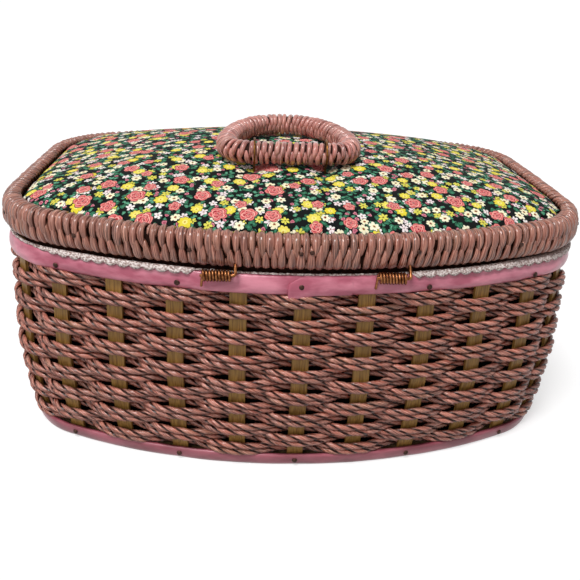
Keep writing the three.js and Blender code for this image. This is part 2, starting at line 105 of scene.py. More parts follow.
def outline_at(share, inset):
    distance = np.mod(share, 1.0) * PERIMETER
    arc = np.searchsorted(ARC_STARTS, distance, side="right") - 1
    angle = ARCS[arc, 3] + (distance - ARC_STARTS[arc]) / ARCS[arc, 2]
    reach = ARCS[arc, 2] - inset
    return ARCS[arc, 0] + reach * np.cos(angle), ARCS[arc, 1] + reach * np.sin(angle), angle


def wall_inset(height):
    shares = np.array([0, 0.2, 0.5, 1])
    down = 1 - shares
    levels = BASE_DRAW_IN * down - 4 * WALL_BELLY * down * shares
    return np.interp(np.clip(height / WEAVE_TOP, 0, 1), shares, levels)

# %% [markdown]
# ## One way to make long and round pieces
# A band, a lining, a wire and a cord are all a strip rolled up: a flat grid whose columns run along
# the piece and whose rows run round it. So each one starts as Blender's grid, its points are moved
# to their places, the seam is merged and the faces are turned outwards. The grid's UV map is set in
# millimetres, along and round, so that a pattern keeps its real size.


# %% A grid that is rolled up
def select_only(piece):
    bpy.ops.object.select_all(action="DESELECT")
    piece.select_set(True)
    bpy.context.view_layer.objects.active = piece


def weld(piece, loose=False):
    select_only(piece)
    bpy.ops.object.mode_set(mode="EDIT")
    bpy.ops.mesh.select_all(action="SELECT")
    bpy.ops.mesh.remove_doubles(threshold=0.000001)
    if loose:
        bpy.ops.mesh.delete_loose(use_verts=True, use_edges=True, use_faces=False)
        bpy.ops.mesh.select_all(action="SELECT")
    bpy.ops.mesh.normals_make_consistent(inside=False)
    bpy.ops.object.mode_set(mode="OBJECT")
    bpy.ops.object.shade_smooth()


def rolled_grid(name, columns, rows, place, along, girth, loose=False):
    bpy.ops.object.select_all(action="DESELECT")
    bpy.ops.mesh.primitive_grid_add(x_subdivisions=columns, y_subdivisions=rows, size=1.0)
    piece = bpy.context.object
    piece.name = piece.data.name = name
    mesh = piece.data
    flat = np.empty(len(mesh.vertices) * 3)
    mesh.vertices.foreach_get("co", flat)
    flat = flat.reshape(-1, 3)
    column = np.rint((flat[:, 0] + 0.5) * columns).astype(int)
    row = np.rint((flat[:, 1] + 0.5) * rows).astype(int)
    mesh.vertices.foreach_set("co", (place(column, row) * MM).ravel())
    corner = np.empty(len(mesh.loops), dtype=int)
    mesh.loops.foreach_get("vertex_index", corner)
    around = np.column_stack([np.asarray(along)[column[corner]], row[corner] * girth / rows])
    mesh.uv_layers.active.data.foreach_set("uv", around.ravel())
    mesh.update()
    weld(piece, loose)
    return piece


def unit(vectors):
    return vectors / np.linalg.norm(vectors, axis=-1, keepdims=True)


def length_along(points):
    """The distance along a line from its first point to each of its points."""
    steps = np.linalg.norm(np.diff(points, axis=0), axis=1)
    return np.concatenate([[0], np.cumsum(steps)])

# %% [markdown]
# ### Tubes
# Cord, wire and every leaf of a winding are tubes: a flat oval section swept along a line. Two
# directions across the line say where the section's width and its height point, so a strand can
# be twisted simply by turning them. A tube closes where its width and height shrink to nothing.


# %% Sweep a tube along a line
def tube(name, path, hint, width, height, sides):
    """A tube round a path: its section is width along the side and height along the hint."""
    forward = unit(np.gradient(path, axis=0))
    across = unit(np.cross(forward, hint))
    lift = np.cross(across, forward)
    return framed_tube(name, path, across, lift, width, height, sides)


def framed_tube(name, path, across, lift, width, height, sides, along=None, loose=False, groove=0,
                girth=10.0):
    """A tube with given side and lift directions. A groove dents it along the middle of its top."""
    if along is None:
        along = length_along(path)
    width = np.broadcast_to(width, len(path))[:, None]
    height = np.broadcast_to(height, len(path))[:, None]

    def place(column, row):
        turn = (2 * np.pi * (row % sides) / sides)[:, None]
        side = across[column] * width[column] * np.cos(turn)
        dent = 1 - groove * (4 * (row[:, None] % sides) == sides)
        return path[column] + side + lift[column] * height[column] * np.sin(turn) * dent

    return rolled_grid(name, len(path) - 1, sides, place, along, girth, loose)


def capped(values):
    """Shrinks the first and last of a list of half widths to nothing, which closes a tube."""
    values = np.array(values, dtype=float)
    values[..., 0] = values[..., -1] = 0
    return values

# %% [markdown]
# ## Materials
# A material starts from what the real one is. Colours are written as sRGB hex values, as a picture
# program shows them, and one function turns them to the linear values that Blender works with.


# %% Helpers for materials
# Blender's Mix node has these numbers for the two colours that it mixes and for their mixture.
MIX_A, MIX_B, MIXED = 6, 7, 2


def colour(hex_value):
    parts = [int(hex_value[i:i + 2], 16) / 255 for i in (1, 3, 5)]
    linear = [p / 12.92 if p <= 0.04045 else ((p + 0.055) / 1.055) ** 2.4 for p in parts]
    return (*linear, 1.0)


def add_node(material, kind, inputs=None, **settings):
    tree = material.node_tree
    node = tree.nodes.new(kind)
    for key, value in settings.items():
        setattr(node, key, value)
    for key, value in (inputs or {}).items():
        if isinstance(value, bpy.types.NodeSocket):
            tree.links.new(value, node.inputs[key])
        else:
            node.inputs[key].default_value = value
    return node


def new_material(name, **sockets):
    material = bpy.data.materials.new(name)
    material.use_nodes = True
    shader = material.node_tree.nodes["Principled BSDF"]
    for key, value in sockets.items():
        shader.inputs[key.replace("_", " ").title().replace("Ior", "IOR")].default_value = value
    return material, shader


def link(material, output, shader, socket):
    material.node_tree.links.new(output, shader.inputs[socket])

# %% [markdown]
# ### Cord
# The cord is paper twisted into strands and dyed a dusty rose. Its surface has fine lengthwise
# fibres, a satin shine, and strands that are paler or browner than their neighbours. The pale
# fibre streaks are partly the paper's own tone and partly painted highlight. The sides of a strand
# are painted darker than its outer face, as shade where strands touch. The pattern follows the
# piece's own UV map, which is measured in millimetres along each strand and runs from 0 to 10 round
# it, with the outer face at 2.5.


# %% Twisted paper cord
def cord_material(name, base, pale, dark, undyed, groove, roughness, coat):
    material, shader = new_material(name, roughness=roughness, specular_ior_level=0.25,
                                    coat_weight=coat, coat_roughness=0.15)
    place = add_node(material, "ShaderNodeUVMap", uv_map="UVMap").outputs["UV"]
    # Fibres lie about 0.3 mm apart and run for about 12 mm.
    fibre_place = add_node(material, "ShaderNodeMapping", {"Vector": place, "Scale": (0.08, 3.0, 1)})
    fibres = add_node(material, "ShaderNodeTexNoise",
                      {"Vector": fibre_place.outputs["Vector"], "Scale": 1.0, "Detail": 3.0})
    # A strand changes tone every few centimetres, and is a little olive where the dye took less.
    tone_place = add_node(material, "ShaderNodeMapping", {"Vector": place, "Scale": (0.05, 0.12, 1)})
    tone = add_node(material, "ShaderNodeTexNoise",
                    {"Vector": tone_place.outputs["Vector"], "Scale": 1.0, "Detail": 2.0})
    tone_share = add_node(material, "ShaderNodeMapRange",
                          {"Value": tone.outputs["Fac"], "From Min": 0.38, "From Max": 0.6})
    toned = add_node(material, "ShaderNodeMix",
                     {"Factor": tone_share.outputs["Result"], MIX_A: colour(dark),
                      MIX_B: colour(base)}, data_type="RGBA")
    dye = add_node(material, "ShaderNodeTexNoise",
                   {"Vector": place, "Scale": 0.021, "Detail": 1.0})
    dye_share = add_node(material, "ShaderNodeMapRange",
                         {"Value": dye.outputs["Fac"], "From Min": 0.56, "From Max": 0.72,
                          "To Max": 0.5})
    tinted = add_node(material, "ShaderNodeMix",
                      {"Factor": dye_share.outputs["Result"], MIX_A: toned.outputs[MIXED],
                       MIX_B: colour(undyed)}, data_type="RGBA")
    # Pale fibre streaks: partly the paper's own tone, partly painted highlight.
    fibre_and_highlight_share = add_node(material, "ShaderNodeMapRange",
                           {"Value": fibres.outputs["Fac"], "From Min": 0.42, "From Max": 0.68})
    streaked = add_node(material, "ShaderNodeMix",
                        {"Factor": fibre_and_highlight_share.outputs["Result"], MIX_A: tinted.outputs[MIXED],
                         MIX_B: colour(pale)}, data_type="RGBA")
    # Painted shade: a strand's sides, away from its outer face, blend to the groove colour.
    parts = add_node(material, "ShaderNodeSeparateXYZ", {"Vector": place})
    turn = add_node(material, "ShaderNodeMath", {0: parts.outputs["Y"], 1: 2 * math.pi / 10},
                    operation="MULTIPLY")
    facing = add_node(material, "ShaderNodeMath", {0: turn.outputs[0]}, operation="SINE")
    side = add_node(material, "ShaderNodeMapRange",
                    {"Value": facing.outputs[0], "From Min": -0.5, "From Max": 0.35})
    shaded = add_node(material, "ShaderNodeMix",
                      {"Factor": side.outputs["Result"], MIX_A: colour(groove),
                       MIX_B: streaked.outputs[MIXED]}, data_type="RGBA")
    bump = add_node(material, "ShaderNodeBump",
                    {"Height": fibres.outputs["Fac"], "Strength": 0.6, "Distance": 0.0003})
    link(material, shaded.outputs[MIXED], shader, "Base Color")
    link(material, bump.outputs["Normal"], shader, "Normal")
    return material


# The rim's cord is darker than the wall's, and the handle's is paler and polished by hands. The
# fifth colour of each is painted shade on the strands' sides, and its pale streaks are partly
# painted highlight.
cord_paper = cord_material("twisted paper cord", "#9f4c38", "#f0b09d", "#5b241a", "#9b6e45",
                           "#260803", roughness=0.36, coat=0.42)
rim_paper = cord_material("flat paper cord of the rim", "#793a2b", "#de9d87", "#3a150e", "#744e2e",
                          "#1a0603", roughness=0.34, coat=0.6)
handle_paper = cord_material("flat paper cord of the handle", "#b35f55", "#f6bbad", "#702b27",
                             "#a16e56", "#2e0c0a", roughness=0.28, coat=0.75)
print("cord finishes:", cord_paper.name, rim_paper.name, handle_paper.name, sep="\n  ")

# %% [markdown]
# ### Cane, board, vinyl, satin, lace and metal
# The other finishes are simpler. Cane has a lengthwise grain. The vinyl strip is smooth with a
# semi-gloss surface and faint marks. Satin is a cloth with a soft sheen. The lace is white cotton.
# The hinge wire is copper-coloured brass, and the nails are dark iron.


# %% Streaked, mottled and metal finishes
def grained_material(name, base, dark, scale, roughness, bump_depth, **sockets):
    """Noise on Object coordinates, stretched by the three numbers of scale, in repeats per metre."""
    material, shader = new_material(name, roughness=roughness, **sockets)
    place = add_node(material, "ShaderNodeTexCoord").outputs["Object"]
    stretched = add_node(material, "ShaderNodeMapping", {"Vector": place, "Scale": scale})
    noise = add_node(material, "ShaderNodeTexNoise",
                     {"Vector": stretched.outputs["Vector"], "Scale": 1.0, "Detail": 4.0})
    share = add_node(material, "ShaderNodeMapRange",
                     {"Value": noise.outputs["Fac"], "From Min": 0.38, "From Max": 0.62})
    mixed = add_node(material, "ShaderNodeMix",
                     {"Factor": share.outputs["Result"], MIX_A: colour(dark), MIX_B: colour(base)},
                     data_type="RGBA")
    bump = add_node(material, "ShaderNodeBump",
                    {"Height": noise.outputs["Fac"], "Strength": 0.5, "Distance": bump_depth})
    link(material, mixed.outputs[MIXED], shader, "Base Color")
    link(material, bump.outputs["Normal"], shader, "Normal")
    return material


# Split cane is yellow-brown and matt, with fine lines along the stave: 0.7 mm across, 17 mm long.
cane = grained_material("split cane", "#a8803e", "#7b5725", (1400, 1400, 60), 0.5, 0.0002)
# Cane and card lie in shadow behind the cord. Their near-black colour is painted shade, and they
# hardly shine.
shade_painted_cane = grained_material("cane core painted dark as shade", "#33180f", "#1c0e0a", (400, 400, 400), 0.7,
                                0.0002, specular_ior_level=0.1)
card = grained_material("brown card painted dark as shade", "#160a07", "#0c0605", (300, 300, 300), 0.9, 0.0002,
                        specular_ior_level=0.1)
# Pressed board is dull, with flecks of about 1.5 mm.
board = grained_material("pressed board", "#8f7350", "#6f5638", (700, 700, 700), 0.85, 0.0003)
# Soft vinyl is smooth and semi-gloss, with marks 8 to 20 mm long. At the foot it is painted darker,
# as shade.
vinyl = grained_material("pink vinyl strip", "#e48fa1", "#b4596e", (50, 50, 130), 0.3, 0.002)
shaded_vinyl = grained_material("pink vinyl strip of the foot", "#ab5e6b", "#863f4b",
                                (50, 50, 130), 0.33, 0.001)
# Satin's threads are too fine to show. They are drawn 0.4 mm apart, as coarse as they need to be.
satin = grained_material("pink satin", "#e8b4b3", "#dda3a4", (900, 900, 2500), 0.36, 0.0001)
# Braided cotton is matt, with holes of about 1 mm. They show as darker specks, which are also
# painted shade in the braid's recesses.
lace_cotton = grained_material("white cotton braid", "#f6ebe6", "#94766f", (900, 900, 1300), 0.75,
                               0.0006)
# Drawn brass wire is bright and copper-toned where it is handled, and duller where it is not.
brass = grained_material("copper-toned brass wire", "#9a6742", "#5c341d", (700, 700, 700), 0.32,
                         0.00005, metallic=1.0)
aged_brass = grained_material("aged brass wire", "#80562c", "#4a2d16", (700, 700, 700), 0.4,
                              0.00005, metallic=1.0)
# Iron nail heads have gone brown-black, with a dull shine.
iron = grained_material("dark iron nail", "#4a3128", "#2a1a16", (800, 800, 800), 0.42, 0.0001,
                        metallic=0.8)
print("finishes made:", len(bpy.data.materials))

# %% [markdown]
# ## The CAD nodes that stay
# The staves, hoops, boards and the handle's core are plain solids on the real basket as well. They
# keep their CAD mesh and get a finish.

# %% Finish the CAD nodes that stay
# The hoops and the handle's core get cane painted near black, as shade.
kept_finishes = {"base_board": board, "lid_board": board, "top_hoop": shade_painted_cane,
                 "lid_hoop_lower": shade_painted_cane, "lid_hoop_upper": shade_painted_cane,
                 "handle_core": shade_painted_cane}
kept_finishes.update({f"stave_{number:02d}": cane for number in range(1, STAVES + 1)})
for node, finish in kept_finishes.items():
    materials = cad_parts[node].data.materials
    materials.clear()
    materials.append(finish)
print("CAD nodes kept:", len(kept_finishes))


def finish_piece(piece, material, body, *nodes, slot=None):
    """Gives a piece its material and the body that it moves with, and hides the CAD nodes it stands
    for.
    """
    piece.data.materials.clear()
    piece.data.materials.append(material)
    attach(piece, body)
    if nodes:
        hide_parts(*nodes)
    print(piece.name, len(piece.data.polygons), "faces")
    return piece

# %% [markdown]
# ## The woven wall
# Each row of the weave is a pair of cords, and each cord is two strands twisted together. A pair
# passes in front of one stave and behind the next, and the next row does the opposite. The pairs
# climb from row to row in one unbroken spiral. Each strand is therefore one long tube: its middle
# line follows the pair's route, and turns round the cord's own line once every 18 mm.

# %% The route of a cord pair
CLIMB_STAVES, START_STAVE = 3, 17
ROW_PITCH = (WEAVE_TOP - WEAVE_BOTTOM) / ROWS
SWING = 3.1
PAIR_SPACING = 3.7
LAY = 18.0
STRAND_OFFSET, STRAND_WIDTH, STRAND_HEIGHT = 0.8, 1.66, 1.3
STEPS_PER_LAY = 8
# A cord starts to lie flat BEHIND_BAND mm before it reaches a band, and is flat FLAT_WITHIN mm on.
BEHIND_BAND, FLAT_WITHIN = 2, 3.5
UP = np.array([0.0, 0.0, 1.0])


def smooth_step(share):
    return share * share * (3 - 2 * share)


def woven_route(step, first_row, lift):
    """Points of a cord's middle line: a step is one stave along, and lift is up in the pair."""
    # A pair starts below the first row and ends above the last, flat behind a band.
    turn = np.floor(step / STAVES)
    climb_start = (turn + 1) * STAVES - CLIMB_STAVES
    climb = smooth_step(np.clip((step - climb_start) / CLIMB_STAVES, 0, 1))
    row = first_row + 2 * (turn + climb)
    # The wave is a little squarer than a cosine, and a pair opens by 4 percent in front of a stave.
    wave = np.cos(np.pi * (step + START_STAVE + first_row - 1))
    wave = wave * (1.3 - 0.3 * wave * wave)
    level = WEAVE_BOTTOM + (row + 0.5) * ROW_PITCH
    height = level + lift * (1 + 0.04 * wave)
    beyond = BEHIND_BAND + np.maximum(WEAVE_BOTTOM - level, level - WEAVE_TOP)
    swing = SWING * wave * np.clip(1 - beyond / FLAT_WITHIN, 0, 1)
    x, y, _ = outline_at((step + START_STAVE) / STAVES, STAVE_INSET + wall_inset(height) - swing)
    return np.column_stack([x, y, height])

# %% [markdown]
# ### Two strands in each cord
# Nothing on a hand-woven basket is quite even, so each cord drifts up and down by a fraction of a
# millimetre and its twist is looser in some places. Both are slow random movements along the cord.
# The two strands of a cord start half a turn apart and stay so.


# %% Twist strands round a cord's line
def wander(length, scale, size):
    """Slow random movement, smooth over about scale mm, for a list of places along a cord."""
    knots = np.arange(0, length[-1] + 2 * scale, scale)
    values = rng.normal(0, size, len(knots))
    share = (length / scale) % 1
    index = (length / scale).astype(int)
    blend = smooth_step(share)
    return values[index] * (1 - blend) + values[index + 1] * blend


def twisted_strands(name, first_row, start, end):
    rings = int((end - start) / STAVES * PERIMETER / LAY * STEPS_PER_LAY)
    step = np.linspace(start, end, rings)
    strands = []
    for lift in (-PAIR_SPACING / 2, PAIR_SPACING / 2):
        line = woven_route(step, first_row, lift)
        length = length_along(line)
        print(name, "has a cord of", round(length[-1] / 1000, 2), "m")
        # By hand, no row is quite level and no twist quite even.
        line[:, 2] += wander(length, 23.0, 0.28)
        forward = unit(np.gradient(line, axis=0))
        outward = unit(np.cross(forward, UP))
        upward = np.cross(outward, forward)
        angle = -2 * np.pi * length / LAY + wander(length, 60.0, 0.4) + rng.uniform(0, 6)
        for phase in (0, np.pi):
            cosine, sine = np.cos(angle + phase)[:, None], np.sin(angle + phase)[:, None]
            radial = cosine * outward + sine * upward
            tangent = cosine * upward - sine * outward
            path = line + radial * STRAND_OFFSET
            along = length + rng.uniform(0, 900)
            strands.append(framed_tube(name, path, tangent, radial,
                                       capped(np.full(rings, STRAND_WIDTH)),
                                       capped(np.full(rings, STRAND_HEIGHT)), 6, along))
    return joined(name, strands)


def joined(name, parts):
    bpy.ops.object.select_all(action="DESELECT")
    for part in parts:
        part.select_set(True)
    bpy.context.view_layer.objects.active = parts[0]
    bpy.ops.object.join()
    parts[0].name = parts[0].data.name = name
    return parts[0]

# %% [markdown]
# ### Both families of pairs
# With an even number of staves, one pair would pass in front of the same staves in each row. So the
# real basket is woven with two families that take turns, one row each. The same function makes
# both: the second starts one row higher and a little further back. Each is one piece, because its
# cord is one length from the foot to the top.

# %% Weave the wall
full_turns = ROWS / 2 * STAVES
# Each family: its letter, its first row, and where its cords start and end, counted in staves.
families = (("a", 0, -1.2, full_turns), ("b", 1, -2.7, full_turns - 1.2))
for letter, first_row, start, end in families:
    woven = twisted_strands(f"woven_cords_{letter}", first_row, start, end)
    finish_piece(woven, cord_paper, "basket", f"weaver_{letter}", slot="cord")

# %% [markdown]
# ## The wound rim
# The lid's rim is two hoops, one above the other, and a cord is wound round them in a figure of
# eight. From outside it shows as long leaves: one set comes over the top and dives in between the
# hoops, and the other comes from below and dives in between the first. Each leaf is a short tube
# that is full in the middle and thin at its tip.

# %% Leaves of a winding
RIM_TURNS = 218


def leaf_strands(name, centre, across, outward, width, height, sides=8, groove=0.08):
    """Many short tubes in one piece. Each list has one row per leaf and one column per ring."""
    count, rings = centre.shape[:2]
    step = np.linalg.norm(np.diff(centre, axis=1), axis=2)
    local = np.concatenate([np.zeros((count, 1)), np.cumsum(step, axis=1)], axis=1)
    along = (local + rng.uniform(0, 3000, (count, 1))).ravel()
    flat = (count * rings, 3)
    width, height = np.broadcast_to(width, (count, rings)), np.broadcast_to(height, (count, rings))
    return framed_tube(name, centre.reshape(flat), across.reshape(flat), outward.reshape(flat),
                       capped(width).ravel(), capped(height).ravel(), sides, along, True, groove)


# The turns stand a little closer in some places than in others.
crowding = wander(np.linspace(0, PERIMETER, RIM_TURNS + 1), 45.0, 1.0)
crowding = (crowding - np.linspace(crowding[0], crowding[-1], RIM_TURNS + 1))[:-1]


def rim_leaves(name, shift, route, widths, reach, slant, rings=10, sides=8):
    """A set of leaves. The route lists (inset, height) from the hidden end to past the tip.

    Each leaf differs a little in length, depth, width, bend and lean, and its tip dives in."""
    route, widths = np.array(route), np.array(widths)
    length = length_along(route)
    share = np.linspace(0, 1, rings)
    count = (RIM_TURNS, 1)
    far = np.clip(rng.normal(reach, 0.055, count), reach - 0.11, 0.99) * share * length[-1]
    dive = 0.25 + 1.9 * share ** 5
    inset = np.interp(far, length, route[:, 0]) + dive + rng.normal(0, 0.16, count)
    level = np.interp(far, length, route[:, 1])
    width = np.interp(share, np.linspace(0, 1, len(widths)), widths) * rng.normal(1, 0.08, count)
    sway = rng.normal(0, 0.4, count) * np.sin(np.pi * share)
    around = (np.arange(RIM_TURNS)[:, None] + shift) / RIM_TURNS
    lean = np.clip(-2.5 * np.sin(2 * np.pi * around), -1, 1) * rng.normal(slant, 0.5, count)
    bow = share ** 1.6 - 0.25 * np.sin(np.pi * share)
    around = around + (crowding[:, None] + sway + lean * bow) / PERIMETER
    x, y, angle = outline_at(around, inset)
    centre = np.stack([x, y, level], axis=-1)
    across = np.stack([-np.sin(angle), np.cos(angle), np.zeros_like(angle)], axis=-1)
    forward = unit(np.gradient(centre, axis=1))
    across = unit(across - forward * (across * forward).sum(-1, keepdims=True))
    outward = np.cross(forward, across) * (1 if route[-1, 1] < route[0, 1] else -1)
    height = 1.5 * np.minimum(1, width / 1.2 + 0.1)
    return leaf_strands(name, centre, across, outward, width, height, sides)

# %% [markdown]
# ### Two sets of leaves, and what shows between them
# On the real rim the cord leans one way on the left of the basket and the other way on the right,
# and its turns are a little uneven. Each set is made from one list of places, from where a leaf
# leaves the inside of the lid to past its tip, and one list of half widths. Numbers do this better
# than modelling by hand, because 218 turns have to follow the outline without a seam.

# %% Wind the rim
over_route = [(10.6, 133.2), (9.4, 135.4), (7.2, 136.1), (4.8, 135.9), (2.8, 134.7), (1.6, 132.4),
              (1.25, 129.6), (1.25, 126.8), (1.4, 124.2), (1.9, 121.9)]
under_route = [(10.2, 121.2), (8.0, 120.5), (5.6, 120.45), (3.6, 120.9), (2.2, 122.2), (1.45, 124.4),
               (1.2, 127.0), (1.25, 129.6), (1.6, 132.2), (2.6, 134.4)]
leaf_widths = [1.1, 1.3, 1.45, 1.75, 2.1, 2.15, 1.95, 1.55, 1.0, 0.3]
over = rim_leaves("rim_over", 0.0, over_route, leaf_widths, reach=0.91, slant=1.9)
under = rim_leaves("rim_under", 0.5, under_route, leaf_widths, reach=0.88, slant=-1.8)
# Between two leaves the next turn of the cord shows as a short end at the top and at the bottom.
short_over_route = [(10.9, 132.6), (9.2, 134.9), (6.6, 135.5), (4.0, 135.0), (2.3, 133.4),
                    (2.0, 131.0)]
short_under_route = [(10.0, 122.0), (7.5, 121.0), (5.2, 120.9), (3.3, 121.6), (2.3, 123.2),
                     (2.1, 125.5)]
short_over = rim_leaves("rim_short_over", 0.5, short_over_route, [0.9, 1.0, 1.05, 0.9, 0.3],
                        reach=0.95, slant=0.0, rings=7, sides=6)
short_under = rim_leaves("rim_short_under", 0.0, short_under_route, [1.1, 1.3, 1.3, 0.9, 0.3],
                         reach=0.95, slant=0.0, rings=7, sides=6)
winding = joined("rim_winding", [over, under, short_over, short_under])
finish_piece(winding, rim_paper, "lid", "lid_rim_wrap", slot="cord")

# %% [markdown]
# ## The wound handle
# The handle is a ring with one straight side, wound in the same way. Its middle line is made of a
# straight bar, two round corners and half an ellipse, and it rises a little away from the bar.

# %% The handle's middle line
HANDLE_X, HANDLE_BAR_Y, HANDLE_BAR_HEIGHT = -5.0, -51.0, 159.353
BAR_LENGTH, HANDLE_CORNER, HANDLE_REACH, HANDLE_RISE, HANDLE_RADIUS = 43.0, 14.0, 65.5, 3.3, 6.4


def handle_line(samples=2000):
    half, corner = BAR_LENGTH / 2, HANDLE_CORNER
    quarter = np.linspace(0, np.pi / 2, 60)
    arch = np.linspace(0, np.pi, 240)
    width, reach = half + corner, HANDLE_REACH - corner
    points = np.vstack([
        np.column_stack([np.linspace(0, half, 30), np.zeros(30)]),
        np.column_stack([half + corner * np.sin(quarter), corner - corner * np.cos(quarter)])[1:],
        np.column_stack([width * np.cos(arch), corner + reach * np.sin(arch)])[1:],
        np.column_stack([-half - corner * np.cos(quarter), corner - corner * np.sin(quarter)])[1:],
        np.column_stack([np.linspace(-half, 0, 30), np.zeros(30)])[1:],
    ])
    length = length_along(points)
    place = np.linspace(0, length[-1], samples, endpoint=False)
    x, y = np.interp(place, length, points[:, 0]), np.interp(place, length, points[:, 1])
    return x, y, length[-1]


ring_x, ring_y, HANDLE_LENGTH = handle_line()
print("once round the handle:", round(HANDLE_LENGTH, 1), "mm")


def handle_at(distance):
    """Place, outward and forward directions on the handle's middle line."""
    count = len(ring_x)
    index = np.mod(distance / HANDLE_LENGTH, 1) * count
    here = np.floor(index).astype(int) % count
    there = (here + 1) % count
    blend = index - np.floor(index)
    x = ring_x[here] * (1 - blend) + ring_x[there] * blend
    y = ring_y[here] * (1 - blend) + ring_y[there] * blend
    far = (here + 6) % count
    near = (here - 6) % count
    forward = unit(np.stack([ring_x[far] - ring_x[near], ring_y[far] - ring_y[near],
                             np.zeros_like(x)], axis=-1))
    outward = np.stack([forward[..., 1], -forward[..., 0], np.zeros_like(x)], axis=-1)
    height = HANDLE_BAR_HEIGHT + y * HANDLE_RISE / HANDLE_REACH
    place = np.stack([HANDLE_X + x, HANDLE_BAR_Y + y, height], axis=-1)
    return place, outward, forward

# %% [markdown]
# ### The handle's winding
# The cord goes round the core with one leaf from above and one from below in each turn, and both
# lean. Their ends are thin and sink in, so that each seems to slip under its neighbours. Below
# them, the core of the real handle is padded out with paper, which shows between the turns and is
# painted near black there, as shade.

# %% Wind the handle
HANDLE_TURNS = 64
# How far the middle of a leaf's cord lies inside the winding's face, and the padding's radius.
LEAF_DEPTH, PADDING_RADIUS = 1.25, 4.9


def handle_leaves(name, shift, start, end, slant):
    """Leaves that go round the handle's section from one angle to another, in degrees."""
    share = np.linspace(0, 1, 14)
    count = (HANDLE_TURNS, 1)
    angle = np.radians(start + (end - start) * share + rng.normal(0, 5, count))
    pitch = HANDLE_LENGTH / HANDLE_TURNS
    drift = rng.normal(0, 0.2, count) + (share - 0.5) * rng.normal(slant, 0.35, count)
    distance = (np.arange(HANDLE_TURNS)[:, None] + shift) * pitch + drift
    taper = np.clip(np.minimum(share, 1 - share) / 0.24, 0, 1) ** 0.8
    radius = HANDLE_RADIUS - LEAF_DEPTH - 1.5 * (1 - taper) + rng.normal(0, 0.12, count)
    place, outward, forward = handle_at(distance)
    radial = outward * np.cos(angle)[..., None] + UP * np.sin(angle)[..., None]
    centre = place + radial * radius[..., None]
    path = unit(np.gradient(centre, axis=1))
    across = unit(forward - path * (forward * path).sum(-1, keepdims=True))
    width = (0.3 + 1.2 * taper) * rng.normal(1, 0.1, count)
    height = 0.35 + 1.15 * taper
    return leaf_strands(name, centre, across, np.cross(path, across), width, height)


over = handle_leaves("handle_over", 0.0, start=220, end=-45, slant=-2.7)
under = handle_leaves("handle_under", 0.5, start=45, end=-222, slant=2.2)
finish_piece(joined("handle_winding", [over, under]), handle_paper, "handle", "handle_wrap",
             slot="cord")

# %% [markdown]
# ### Padding below the winding
# The padding is one plain ring inside the winding, painted as dark as the core, as shade. It has
# no shape of its own to show, and only closes the gaps through which the light would shine.

# %% Pad the handle
PADDING_STEP, PADDING_SIDES = 2.5, 12
ring_distance = np.arange(0, HANDLE_LENGTH, PADDING_STEP)


def padding_place(column, row):
    place, outward, _ = handle_at(ring_distance[column % len(ring_distance)])
    turn = (2 * np.pi * (row % PADDING_SIDES) / PADDING_SIDES)[:, None]
    return place + PADDING_RADIUS * (outward * np.cos(turn) + UP * np.sin(turn))


padding = rolled_grid("handle_padding", len(ring_distance), PADDING_SIDES, padding_place,
                      np.arange(len(ring_distance) + 1) * PADDING_STEP, 31.0)
finish_piece(padding, shade_painted_cane, "handle")

# %% [markdown]
# ## Vinyl bands
# A thin vinyl strip is folded round the body under the rim, and another round its foot. Each is
# nailed at every second stave, and swells a little between the nails. One section is swept round
# the outline, and then pressed, waved and creased by numbers, which is quicker than a simulation
# and keeps it clear of the weave.

# %% Make the two bands
BAND_COLUMNS = 720


def band(name, section, press, wave, crease):
    """A closed strip round the outline. The section is (inset, height) once round, from outside.

    It is pressed in at the nails, its edge waves up and down, and its face has upright creases."""
    section = np.array(section)
    share = np.arange(BAND_COLUMNS) / BAND_COLUMNS
    nail = np.cos(np.pi * STAVES / 2 * share) ** 2
    closing = np.minimum(1, (1 - share) * 20)
    jitter = wander(share * PERIMETER, 40.0, 1.0) * closing
    creases = [wander(share * PERIMETER, 11.0, crease) * closing for _ in range(3)]

    def place(column, row):
        here, level = column % BAND_COLUMNS, row % len(section)
        outer = section[level, 0] < BAND_INSET + 1.2
        inset = section[level, 0] + press * (nail[here] ** 6 - 0.3) * outer
        inset = inset + np.array(creases)[level // 2 % 3, here] * outer
        height = section[level, 1] + wave * jitter[here] * section[level, 1].clip(1, 1.0001)
        x, y, _ = outline_at(share[here], inset + wall_inset(height))
        return np.column_stack([x, y, height])

    along = np.linspace(0, PERIMETER, BAND_COLUMNS + 1)
    return rolled_grid(name, BAND_COLUMNS, len(section), place, along, 24.0)


top_section = [(3.4, 115.9), (2.9, 114.7), (2.6, 113.2), (2.25, 111.4), (2.1, 109.8), (2.25, 108.2),
               (2.8, 106.9), (3.5, 106.3), (4.9, 106.35), (4.9, 111.0), (4.8, 116.0), (4.0, 116.25)]
bottom_section = [(2.7, 6.9), (2.35, 5.4), (2.3, 3.6), (2.4, 1.6), (2.9, 0.1), (4.5, 0.02),
                  (4.7, 3.5), (4.6, 6.9), (3.6, 7.1)]
finish_piece(band("band_top", top_section, press=0.35, wave=0.12, crease=0.12), vinyl, "basket",
             "top_band", slot="vinyl")
finish_piece(band("band_foot", bottom_section, press=0.25, wave=0.0, crease=0.06), shaded_vinyl,
             "basket", "bottom_band", slot="vinyl")

# %% [markdown]
# ### Where the upper band ends
# The real strip's two ends overlap at the middle of the hinge side. The upper end hangs a little
# lower than the band, is cut slightly askew and stands off at its tip. It is a short flat strip with
# a section like a rounded box, which closes to a line at both ends and sinks into the band.

# %% The overlapping end of the upper band
FLAP_START, FLAP_LENGTH, FLAP_COLUMNS, FLAP_ROWS = -8.6, 34.0, 34, 16


